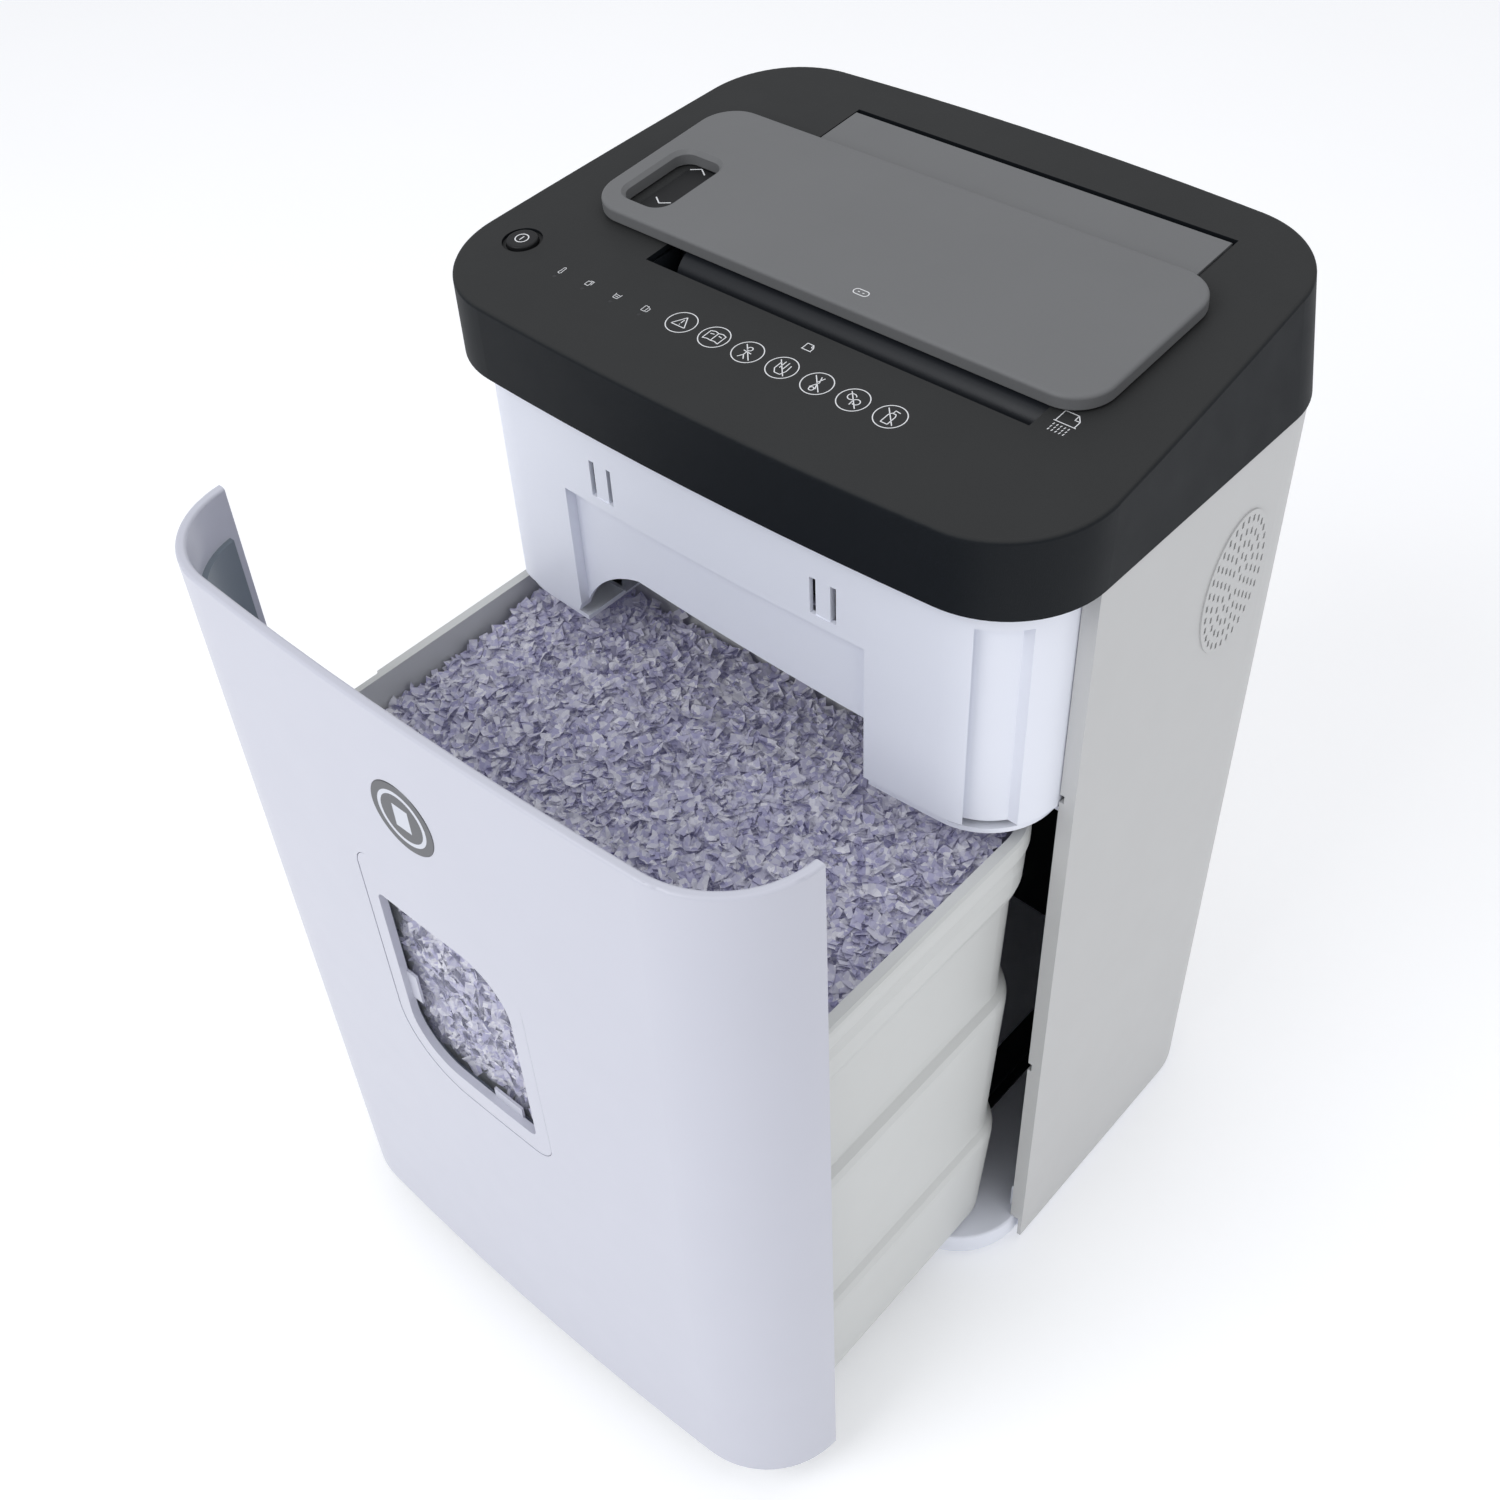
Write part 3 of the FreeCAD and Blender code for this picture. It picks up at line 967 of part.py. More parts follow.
def frame_parts(first, second, idler, lay3):
    y0, y1 = FRONT_CUTTER[0] - 28, MOTOR[0] + MOTOR_RADIUS + 2
    z1 = NIP_Z + 42
    outline_points = [(y0, DECK_TOP), (y1, DECK_TOP), (y1, z1), (ROLLER[0] + 16, z1),
                      (ROLLER[0] + 12, ROLLER[1] + 8),
                      (ROLLER[0] - 12, ROLLER[1] + 8), (ROLLER[0] - 16, z1), (y0 + 12, z1), (y0, z1 - 12)]
    bush_out = JOURNAL_RADIUS + 4
    tie_places = [(y0 + 7, NIP_Z - 20), (y0 + 7, NIP_Z + 28), (REAR_CUTTER[0] + 22, DECK_TOP + 14),
                  (ROLLER[0] + 24, NIP_Z + 34)]
    for name, x0 in (("left_cutter_frame", FRAME_X0 - FRAME_WALL), ("right_cutter_frame", FRAME_X1)):
        plate = polygon_yz(outline_points, x0, x0 + FRAME_WALL)
        xs = (x0 - 10, x0) if name.startswith("left") else (x0 + FRAME_WALL, x0 + FRAME_WALL + 10)
        foot = box(xs[0], xs[1], y0, y1, DECK_TOP, DECK_TOP + FRAME_WALL)
        plate = fuse([plate, foot])
        holes = [rod_x(x0 - 2, x0 + 5, c[0], c[1], bush_out + 0.02) for c in (FRONT_CUTTER, REAR_CUTTER)]
        holes.append(rod_x(x0 - 2, x0 + 5, ROLLER[0], ROLLER[1], AXLE_RADIUS + FIT))
        holes.append(rod_x(x0 - 2, x0 + 5, MOTOR[0], MOTOR[1], 9.0))
        holes += [rod_x(x0 - 2, x0 + 5, y, z, 2.6) for y, z in tie_places]
        pins = (first, second) if name.startswith("left") else (idler,)
        holes += [rod_x(x0 - 2, x0 + 5, c[0], c[1], AXLE_RADIUS + 0.01) for c in pins]
        keep(name, plate.cut(holes))
    bushes = []
    for c in (FRONT_CUTTER, REAR_CUTTER):
        for x in (FRAME_X0 - FRAME_WALL, FRAME_X1):
            body = rod_x(x, x + FRAME_WALL, c[0], c[1], bush_out)
            flange_x = x + FRAME_WALL if x < 0 else x - 1.0
            flange = rod_x(flange_x, flange_x + 1.0, c[0], c[1], bush_out + 2)
            bush = fuse([body, flange]).cut(rod_x(x - 5, x + 8, c[0], c[1], JOURNAL_RADIUS + FIT))
            bushes.append(bush)
    keep("shaft_bushes", *bushes)
    rods = []
    for y, z in tie_places:
        bar = rod_x(FRAME_X0, FRAME_X1, y, z, 4)
        ends = rod_x(FRAME_X0 - FRAME_WALL, FRAME_X1 + FRAME_WALL, y, z, 2.5)
        rods.append(fuse([bar, ends]))
    keep("tie_rods", *rods)
    motor_x0 = FRAME_X0
    can = rod_x(motor_x0 + 8, motor_x0 + MOTOR_LENGTH - 8, MOTOR[0], MOTOR[1], MOTOR_RADIUS)
    caps = [rod_x(motor_x0, motor_x0 + 8.5, MOTOR[0], MOTOR[1], MOTOR_RADIUS - 2),
            rod_x(motor_x0 + MOTOR_LENGTH - 8.5, motor_x0 + MOTOR_LENGTH, MOTOR[0], MOTOR[1],
                  MOTOR_RADIUS - 2)]
    body = fuse([can] + caps)
    keep("motor_body", body.cut(rod_x(motor_x0 - 1, motor_x0 + MOTOR_LENGTH + 1, MOTOR[0], MOTOR[1],
                                      MOTOR_SHAFT_RADIUS + FIT)))
    cover_x = lay3 - 6
    reach_y0 = REAR_CUTTER[0] - MODULE_CUTTER * TEETH_DRIVE / 2 - 4
    reach_y1 = max(first[0] + MODULE_MOTOR * TEETH_FIRST / 2, MOTOR[0] + 8) + 4
    cz0 = min(REAR_CUTTER[1], MOTOR[1]) - MODULE_CUTTER * TEETH_DRIVE / 2 - 2
    cz1 = second[1] + MODULE_MIDDLE * TEETH_SECOND / 2 + 3
    shell = box(cover_x, FRAME_X0 - FRAME_WALL, reach_y0 - 2, reach_y1 + 2, cz0 - 2, cz1 + 2)
    shell = filleted(shell, 6, lambda e: abs(e.BoundBox.YLength) < 0.01 and abs(e.BoundBox.ZLength) < 0.01)
    hollow = box(cover_x + 2, FRAME_X0, reach_y0, reach_y1, cz0, cz1)
    passage = rod_x(cover_x, FRAME_X0, FRONT_CUTTER[0], FRONT_CUTTER[1], JOURNAL_RADIUS + 5)
    keep("gear_cover", shell.cut([hollow, passage]))
    cap_y = POCKET_Y1 - 6
    keep("motor_capacitor", rod_z(-HALF_W + 30, cap_y - 40, DECK_TOP, DECK_TOP + 62, 15))


# ------------------------------------------------------------------- the drawer
def out(shape):
    """Carry a shape drawn with the drawer shut to where the drawer stands."""
    moved = shape.copy()
    moved.translate(V(0, -DRAWER_OUT, 0))
    return moved


def tub_profile():
    """(height, inset) of the tub's outside: rolled rim, then tiers that step out at each shoulder."""
    top = TUB_RIM_Z
    low = TUB_BOTTOM
    drop = top - low
    rim = [(top, 1.6), (top - 1.4, 0.4), (top - 4, 0.0), (top - 11, 0.0), (top - 14, 1.2), (top - 16, 2.6),
           (top - 20, 2.2), (top - 24, 1.6), (top - 38, 2.2), (top - 44, 3.8), (top - 50, 7.0)]
    shoulders = [(0.385, 4.2), (0.745, 5.0)]
    profile = list(rim)
    inset = 7.6
    for share, out_to in shoulders:
        z = top - drop * share
        profile += [(z + 12, inset + 1.6), (z + 6, inset + 1.2), (z + 2, out_to + 1.2), (z - 3, out_to),
                    (z - 8, out_to)]
        inset = out_to + 3.2
    profile += [(low + 3, inset + 1.6), (low, inset + 3.0)]
    return profile


def tub_section(z, inset):
    radii = [TUB_CORNER - inset] * 4
    return rounded_wire(-TUB_HALF + inset, TUB_HALF - inset, TUB_Y0, TUB_Y1 - inset, radii, z)


def tub_inset(z):
    """Outside inset of the tub at a height, between the profile's points."""
    points = sorted(tub_profile())
    for (za, a), (zb, b) in zip(points, points[1:]):
        if za <= z <= zb:
            return a + (b - a) * (z - za) / (zb - za)
    return points[-1][1]


def tub():
    profile = sorted(tub_profile())
    outer = Part.makeLoft([tub_section(z, i) for z, i in profile], True, True)
    floor = TUB_FLOOR_UNDER + TUB_WALL
    levels = [z for z, _ in profile if z > floor + 1]
    inside = [(floor, tub_inset(floor) + TUB_WALL)] + [(z, max(tub_inset(z), 4.0) + TUB_WALL)
                                                       for z in levels]
    inside.append((TUB_RIM_Z + 2, 5.5 + TUB_WALL))

    def section(z, inset):
        radii = [TUB_CORNER - inset] * 4
        return rounded_wire(-TUB_HALF + inset, TUB_HALF - inset, TUB_Y0 + TUB_WALL, TUB_Y1 - inset,
                            radii, z)

    inner = Part.makeLoft([section(z, i) for z, i in inside], True, True)
    under = Part.makeLoft([section(z, tub_inset(max(z, TUB_BOTTOM)) + TUB_WALL)
                           for z in (TUB_BOTTOM - 1, TUB_BOTTOM + 4, TUB_FLOOR_UNDER)], True, True)
    body = outer.cut([inner, under])
    # window in the front wall, notches where the rails pass, finger notch in the left rim
    half_x, half_z = WINDOW_WIDTH / 2 + PANE_LAP + 3.5, WINDOW_HEIGHT / 2 + PANE_LAP + 1.5
    window = leaf_prism(half_x, half_z, WINDOW_Z, WINDOW_SHARP + 4, WINDOW_ROUND + 4, TUB_Y0 - 2,
                        TUB_Y0 + 8)
    cut = [window]
    for side in (-1, 1):
        x = side * RAIL_X
        cut.append(box(x - 15, x + 15, TUB_Y1 - 25, TUB_Y1 + 5, TUB_BOTTOM - 1, TUB_FLOOR_UNDER))
    cut.append(rounded_box(-TUB_HALF - 3, -TUB_HALF + 3.2, TUB_Y0 + 48, TUB_Y0 + 86, TUB_RIM_Z - 4.5,
                           TUB_RIM_Z + 3, 3))
    return body.cut(cut)


def drawer_parts():
    keep("bin_tub", out(tub()))
    front = region(y1=WING_END)
    shell = skin(0, DRAWER_WALL, DRAWER_BOTTOM, DRAWER_TOP).common(front)
    shell = filleted(shell, 1.6, lambda e: e.BoundBox.ZMin > DRAWER_TOP - 0.1 and e.Length > 20)
    shell = filleted(shell, 1.2, lambda e: e.BoundBox.ZMax < DRAWER_BOTTOM + 0.1 and e.Length > 20)
    bx, bz = WINDOW_WIDTH / 2 + BEZEL_BORDER_X, WINDOW_HEIGHT / 2 + BEZEL_BORDER_Z
    deep = FRONT_Y + 30
    shell = shell.cut(leaf_prism(bx + SEAT, bz + SEAT, BEZEL_Z, BEZEL_SHARP + SEAT, BEZEL_ROUND + SEAT,
                                 FRONT_Y - 30, deep))
    badge_y = FRONT_Y - FACE_BOW
    seat = Part.makeCylinder(BADGE_RADIUS + 0.2, 6, V(BADGE_X, badge_y - 5, BADGE_Z), V(0, 1, 0))
    shell = shell.cut(seat)
    keep("drawer_front", out(shell))
    badge = Part.makeCylinder(BADGE_RADIUS, 1.2, V(BADGE_X, badge_y - 0.25, BADGE_Z), V(0, 1, 0))
    badge = badge.makeChamfer(0.3, edges_at(badge, lambda e: e.BoundBox.YMax < badge_y - 0.2))
    keep("front_badge", out(badge))
    inner = DRAWER_WALL + DRAWER_LINER_WALL
    liner = skin(DRAWER_WALL, inner, DRAWER_BOTTOM + 6, DRAWER_TOP - 26).common(region(y1=WING_END - 5))
    px, pz = WINDOW_WIDTH / 2 + PANE_LAP, WINDOW_HEIGHT / 2 + PANE_LAP
    liner = liner.cut(leaf_prism(px + 1, pz + 1, WINDOW_Z, WINDOW_SHARP, WINDOW_ROUND, FRONT_Y - 30, deep))
    shelf = box(-TUB_HALF + 30, TUB_HALF - 30, FRONT_Y + 3.5, TUB_Y0 - 0.2, TUB_RIM_Z - 60, TUB_RIM_Z - 55)
    shelf = shelf.cut(leaf_prism(bx + 2, bz + 2, BEZEL_Z, BEZEL_SHARP, BEZEL_ROUND, FRONT_Y - 30, deep))
    shelf = shelf.cut(skin(-20, DRAWER_WALL, 0, TOP))
    keep("drawer_liner", out(fuse([liner] + shelf.Solids)))
    ring = leaf_prism(bx, bz, BEZEL_Z, BEZEL_SHARP, BEZEL_ROUND, FRONT_Y - 30, deep)
    opening = leaf_prism(WINDOW_WIDTH / 2, WINDOW_HEIGHT / 2, WINDOW_Z, WINDOW_SHARP, WINDOW_ROUND,
                         FRONT_Y - 31, deep + 1)
    bezel = ring.cut(opening).common(skin(0.2, DRAWER_WALL - 0.6, 0, TOP))
    left, below = WINDOW_X - WINDOW_WIDTH / 2, WINDOW_Z - WINDOW_HEIGHT / 2
    tabs = [box(left - 1, left + 7, FRONT_Y, FRONT_Y + 1.4, WINDOW_Z - 24, WINDOW_Z - 3),
            box(WINDOW_X + 10, WINDOW_X + 30, FRONT_Y, FRONT_Y + 1.4, below - 1, below + 7)]
    keep("window_bezel", out(fuse([bezel] + tabs)))
    pane = leaf_prism(px, pz, WINDOW_Z, WINDOW_SHARP + 3, WINDOW_ROUND + 3, FRONT_Y + 2.2, FRONT_Y + 4.2)
    keep("window_pane", out(pane))
    shoes = []
    for side in (-1, 1):
        x = side * RAIL_X
        y0, y1 = TUB_Y1 - 74, TUB_Y1 - 4 - TUB_WALL - 8
        block = box(x - 14, x + 14, y0, y1, PLINTH_TOP + 3, TUB_FLOOR_UNDER)
        head = box(x - 8 - SEAT, x + 8 + SEAT, y0 - 1, y1 + 1, PLINTH_TOP + 6.5 - SEAT,
                   PLINTH_TOP + 9.5 + SEAT)
        web = box(x - 3 - SEAT, x + 3 + SEAT, y0 - 1, y1 + 1, PLINTH_TOP, PLINTH_TOP + 8)
        shoes.append(block.cut([head, web]))
    keep("runner_shoes", *[out(s) for s in shoes])
    keep("shredded_paper", out(paper()))


def paper():
    """Crust of the heap: a domed slab near the rim and a curtain behind the window."""
    top = TUB_RIM_Z - 14
    gap = 2.0
    w = TUB_HALF - max(tub_inset(top), 4.0) - TUB_WALL - 8
    y0, y1 = TUB_Y0 + TUB_WALL + gap, TUB_Y1 - 12
    slab_ = rounded_box(-w, w, y0, y1, top - 26, top, 20)
    dome = Part.makeSphere(1400, V(0, (y0 + y1) / 2, top + 8 - 1400))
    dome = dome.common(rounded_box(-w + 2, w - 2, y0 + 2, y1 - 2, top - 24, top + 20, 18))
    w2 = WINDOW_WIDTH / 2 + 16
    curtain = box(WINDOW_X - w2, WINDOW_X + w2, y0, y0 + 16, WINDOW_Z - WINDOW_HEIGHT / 2 - 14, top - 24)
    return fuse([slab_, dome, curtain])


# ------------------------------------------------------------------------ export
button_parts()
rocker_parts()
board_parts()
lid_parts()
pressure_parts()
cabinet_parts()
feed_parts()
mechanism_parts()
drawer_parts()

os.makedirs("parts", exist_ok=True)
for name, shape in NODES.items():
    shape.exportStep("parts/" + name + ".step")
    box_ = shape.BoundBox
    print("%-24s solids %2d  x %7.1f %7.1f  y %7.1f %7.1f  z %7.1f %7.1f  %s" % (
        name, len(shape.Solids), box_.XMin, box_.XMax, box_.YMin, box_.YMax, box_.ZMin, box_.ZMax,
        "" if shape.isValid() else "NOT VALID"))
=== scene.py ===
# %% [markdown]
# # A paper shredder with its bin pulled out
#
# The hard parts of this shredder were built as solids, so they have the right size and place already.
# Blender adds what solids cannot: the moulded plastics, the heap of shreds and the printed marks.
# Everything is in metres. +X is the user's right, +Y the back of the machine, +Z up.

import math

import bpy
import numpy as np
from mathutils import Matrix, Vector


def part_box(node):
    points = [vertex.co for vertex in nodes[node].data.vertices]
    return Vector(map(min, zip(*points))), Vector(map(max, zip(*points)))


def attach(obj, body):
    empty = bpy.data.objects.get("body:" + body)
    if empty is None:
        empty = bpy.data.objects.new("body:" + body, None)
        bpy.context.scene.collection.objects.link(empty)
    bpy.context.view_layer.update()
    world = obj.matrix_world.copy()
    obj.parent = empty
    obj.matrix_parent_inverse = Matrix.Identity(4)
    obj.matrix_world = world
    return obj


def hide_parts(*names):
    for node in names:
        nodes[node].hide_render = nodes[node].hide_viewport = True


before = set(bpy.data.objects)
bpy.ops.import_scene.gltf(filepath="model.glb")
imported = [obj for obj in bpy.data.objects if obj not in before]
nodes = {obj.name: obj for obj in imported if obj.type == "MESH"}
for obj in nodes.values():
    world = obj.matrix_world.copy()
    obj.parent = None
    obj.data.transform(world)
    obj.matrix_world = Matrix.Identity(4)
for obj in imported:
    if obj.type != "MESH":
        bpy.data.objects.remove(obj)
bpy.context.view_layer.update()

# %% [markdown]
# ## Arithmetic on sockets
#
# A finish is a chain of small sums on textures. Written as nodes, sums are hard to read, so one class
# wraps a socket and turns `1 - mask` or `grain * 0.2 + 0.4` into Math nodes. A second class holds one
# finish and has a single method that adds any other node.

# %% Signal and Finish


class Signal:
    """An output socket that can be used in an expression."""

    def __init__(self, finish, socket):
        self.finish = finish
        self.socket = socket

    def sum(self, operation, first, second):
        return self.finish.node("Math", {"operation": operation}, {0: first, 1: second})

    def __add__(self, other):
        return self.sum("ADD", self, other)

    def __sub__(self, other):
        return self.sum("SUBTRACT", self, other)

    def __rsub__(self, other):
        return self.sum("SUBTRACT", other, self)

    def __mul__(self, other):
        return self.sum("MULTIPLY", self, other)

    def __gt__(self, other):
        return self.sum("GREATER_THAN", self, other)


class Finish:
    """A material with a Principled shader; fixed values go straight onto the shader's sockets."""

    def __init__(self, name, **fixed):
        self.material = bpy.data.materials.new(name)
        self.material.use_nodes = True
        self.tree = self.material.node_tree
        self.shader = self.tree.nodes["Principled BSDF"]
        for socket, value in fixed.items():
            self.shader.inputs[socket.replace("_", " ")].default_value = value

    def node(self, kind, settings=None, inputs=None, out=0):
        """Add a node: settings first (a ramp takes a list of stops), then values or links of its sockets."""
        made = self.tree.nodes.new("ShaderNode" + kind)
        for key, value in (settings or {}).items():
            if key == "stops":
                ramp = made.color_ramp.elements
                for i, (place, tone) in enumerate(value):
                    stop = ramp[i] if i < 2 else ramp.new(place)
                    stop.position = place
                    stop.color = (*tone, 1) if isinstance(tone, tuple) else (tone, tone, tone, 1)
            else:
                setattr(made, key, value)
        for key, value in (inputs or {}).items():
            self.feed(made.inputs[key], value)
        return Signal(self, made.outputs[out])

    def feed(self, socket, value):
        if isinstance(value, Signal):
            self.tree.links.new(value.socket, socket)
        else:
            socket.default_value = value

    def drive(self, **signals):
        for socket, value in signals.items():
            self.feed(self.shader.inputs[socket.replace("_", " ")], value)
        return self

    def place(self):
        """Position in metres in the row frame."""
        return self.node("TexCoord", out=3)

    def noise(self, size, detail=2.0, where=None, stretch=None):
        """Noise whose features are about size metres across; stretch scales each axis."""
        where = where or self.place()
        if stretch:
            where = self.node("Mapping", inputs={"Vector": where, "Scale": stretch})
        return self.node("TexNoise", inputs={"Vector": where, "Scale": 1 / size, "Detail": detail})

    def blend(self, factor, a, b):
        """Colour a where factor is 0 and b where it is 1; each is a tuple or a signal."""
        a, b = (c if isinstance(c, Signal) else (*c, 1) for c in (a, b))
        return self.node("Mix", {"data_type": "RGBA"}, {"Factor": factor, 6: a, 7: b}, out=2)

    def bump(self, height, depth):
        return self.node("Bump", inputs={"Height": height, "Distance": depth})


# %% [markdown]
# ## Moulded plastics
#
# The mould of such a case is spark-eroded, which leaves a fine grain of about half a millimetre. It
# softens highlights and hides fingerprints. Each plastic here is that grain as a bump, a slow drift of
# tone over a few centimetres, and faint patches that are a little shinier where hands have rubbed.

# %% A maker for moulded plastics


def tone(colour, factor):
    return tuple(min(1.0, c * factor) for c in colour)


def moulded(name, colour, roughness, grain=0.0006, depth=0.00002, drift=0.04, **fixed):
    """Moulded plastic: colour drifts by +-drift, roughness by +-0.05, and grain metres of spark texture."""
    made = Finish(name, **fixed)
    spread = made.noise(0.05, 3.0)
    speck = made.noise(grain, 1.0)
    rubbed = made.noise(0.02, 4.0)
    mixed = spread * 0.7 + speck * 0.3
    made.drive(Base_Color=made.blend(mixed, tone(colour, 1 - drift), tone(colour, 1 + drift)),
               Roughness=rubbed * 0.10 + (roughness - 0.05),
               Normal=made.bump(speck, depth))
    return made.material


def two_faced(name, upright, level, roughness, **fixed):
    """Moulded plastic whose level faces are painted paler than its upright ones: painted light, as if what
    looks up catches the light from above.
    """
    made = Finish(name, **fixed)
    spread = made.noise(0.05, 3.0)
    speck = made.noise(0.0006, 1.0)
    upness = made.node("SeparateXYZ", inputs={"Vector": made.node("NewGeometry", out=1)}, out=2)
    # Painted light: faces that look up get a paler colour than upright ones, so the top reads as lit from
    # above.
    painted_top_light = made.node("ValToRGB", {"stops": [(0.45, 0.0), (0.95, 1.0)]}, {"Fac": upness})
    mixed = made.blend(spread * 0.6 + speck * 0.4, tone(level, 0.90), tone(level, 1.10))
    made.drive(Base_Color=made.blend(painted_top_light, upright, mixed),
               Roughness=made.noise(0.02, 4.0) * 0.10 + (roughness - 0.05),
               Normal=made.bump(speck, 0.00005))
    return made.material


charcoal = two_faced("charcoal_moulding", (0.0085, 0.0105, 0.0130), (0.0310, 0.0320, 0.0325), 0.56,
                     Specular_IOR_Level=0.13)
lid_grey = moulded("lid_moulding", (0.150, 0.153, 0.157), 0.52, depth=0.00004, drift=0.06,
                   Specular_IOR_Level=0.35)
button_black = moulded("button_moulding", (0.012, 0.0125, 0.0135), 0.45, drift=0.10, Specular_IOR_Level=0.25)
ramp_black = moulded("ramp_moulding", (0.012, 0.014, 0.018), 0.40, drift=0.10, Specular_IOR_Level=0.3)
dark_inner = moulded("dark_inner_moulding", (0.012, 0.015, 0.019), 0.60, drift=0.12, Specular_IOR_Level=0.3)
hood_white = moulded("hood_moulding", (0.860, 0.885, 0.970), 0.42, drift=0.025)
panel_white = moulded("panel_moulding", (0.560, 0.562, 0.560), 0.45, depth=0.00003, drift=0.025)
drawer_white = moulded("drawer_moulding", (0.555, 0.564, 0.640), 0.36, grain=0.0009, depth=0.00001,
                       drift=0.02, Coat_Weight=0.15, Coat_Roughness=0.25)
tub_white = moulded("tub_moulding", (0.630, 0.640, 0.628), 0.40, depth=0.00001, drift=0.03)
# Painted shade: the liner inside the drawer is given a dark grey that stands for the shade falling within the
# drawer.
liner_dark_painted_shade = moulded("drawer_liner_moulding", (0.190, 0.225, 0.260), 0.45, drift=0.05)
print("plastics:", sum(m.name.endswith("moulding") for m in bpy.data.materials))

# %% [markdown]
# ## Metals, rubber and the small electric parts
#
# Turned shafts and cutters keep the fine marks of the lathe round their axis, which here is X. Pressed
# steel is zinc plated: a pale grey with soft crystal patches. Rubber is nearly black and very matt.

# %% Metals and the rest


def turned_steel(name, colour, roughness):
    """Bright metal with fine rings along X: noise squeezed along the axis feeds tone and roughness."""
    made = Finish(name, Metallic=1.0)
    rings = made.noise(0.002, 2.0, stretch=(6.0, 0.3, 0.3))
    made.drive(Base_Color=made.blend(rings, tone(colour, 0.85), tone(colour, 1.1)),
               Roughness=rings * 0.15 + (roughness - 0.07), Normal=made.bump(rings, 0.00002))
    return made.material


def zinc_plate(name):
    made = Finish(name, Metallic=1.0)
    crystal = made.node("TexVoronoi", inputs={"Vector": made.place(), "Scale": 160.0})
    made.drive(Base_Color=made.blend(crystal, (0.50, 0.52, 0.55), (0.66, 0.68, 0.70)),
               Roughness=crystal * 0.2 + 0.3)
    return made.material


def soft_rubber(name):
    made = Finish(name)
    pores = made.noise(0.0008, 3.0)
    made.drive(Base_Color=made.blend(pores, (0.016, 0.016, 0.017), (0.032, 0.032, 0.034)),
               Roughness=pores * 0.1 + 0.78, Normal=made.bump(pores, 0.0001))
    return made.material


def satin_badge(name):
    """Turned disc with rings about its centre line; a plain ring and a small sheet are left bright."""
    made = Finish(name)
    low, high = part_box("front_badge")
    middle = [-(a + b) / 2 for a, b in zip(low, high)]
    where = made.node("Mapping", inputs={"Vector": made.place(), "Location": middle})
    rings = made.node("TexWave", {"wave_type": "RINGS", "rings_direction": "Y"},
                      {"Vector": where, "Scale": 900.0, "Distortion": 1.5, "Detail": 2.0}, out=1)
    metal = made.blend(rings, (0.115, 0.118, 0.125), (0.165, 0.168, 0.178))
    flat = made.node("VectorMath", {"operation": "MULTIPLY"}, {0: where, 1: (1, 0, 1)})
    radius = made.node("VectorMath", {"operation": "LENGTH"}, {0: flat}, out=1)
    ring_inside, ring_outside, sheet_half_width, sheet_half_height = 0.0134, 0.0156, 0.0050, 0.0068
    parts = (made.node("SeparateXYZ", inputs={"Vector": where}, out=k) for k in (0, 2))
    across, up = (made.node("Math", {"operation": "ABSOLUTE"}, {0: part}) for part in parts)
    ring = (radius > ring_inside) * (1 - (radius > ring_outside))
    sheet = (1 - (across > sheet_half_width)) * (1 - (up > sheet_half_height))
    mark = made.node("Math", {"operation": "MAXIMUM"}, {0: ring, 1: sheet})
    made.drive(Base_Color=made.blend(mark, metal, (0.62, 0.64, 0.70)),
               Metallic=1 - mark * 0.8, Roughness=rings * 0.12 + 0.34)
    return made.material


def circuit_board(name):
    made = Finish(name, Coat_Weight=0.4)
    traces = made.node("TexBrick", inputs={"Vector": made.place(), "Scale": 160.0, "Mortar Size": 0.05,
                                           "Color1": (0.01, 0.09, 0.035, 1), "Color2": (0.012, 0.11, 0.04, 1),
                                           "Mortar": (0.03, 0.22, 0.08, 1)})
    made.drive(Base_Color=traces, Roughness=made.noise(0.004) * 0.2 + 0.3)
    return made.material


def clear_sheet(name):
    """Clear polystyrene: mostly see-through, with faint haze where dust clings."""
    made = Finish(name, Base_Color=(0.80, 0.84, 0.90, 1), Roughness=0.04, IOR=1.5)
    haze = made.noise(0.012, 4.0)
    made.drive(Alpha=haze * 0.08 + 0.02, Roughness=haze * 0.05 + 0.03)
    return made.material


steel = turned_steel("turned_steel", (0.52, 0.52, 0.53), 0.32)
zinc = zinc_plate("zinc_plate")
rubber = soft_rubber("soft_rubber")
nylon = moulded("natural_nylon", (0.62, 0.60, 0.53), 0.45)
badge_grey = satin_badge("satin_badge")
board_green = circuit_board("circuit_board_mask")
pane_clear = clear_sheet("clear_pane")
guide_clear = moulded("light_guide_acrylic", (0.010, 0.011, 0.013), 0.3)
part_grey = moulded("capacitor_case", (0.10, 0.11, 0.12), 0.4)

# %% [markdown]
# ## Dress the solids
#
# A solid whose shape is right only needs its finish. The table gives each finish the solids that wear
# it; the print shows that none was forgotten.

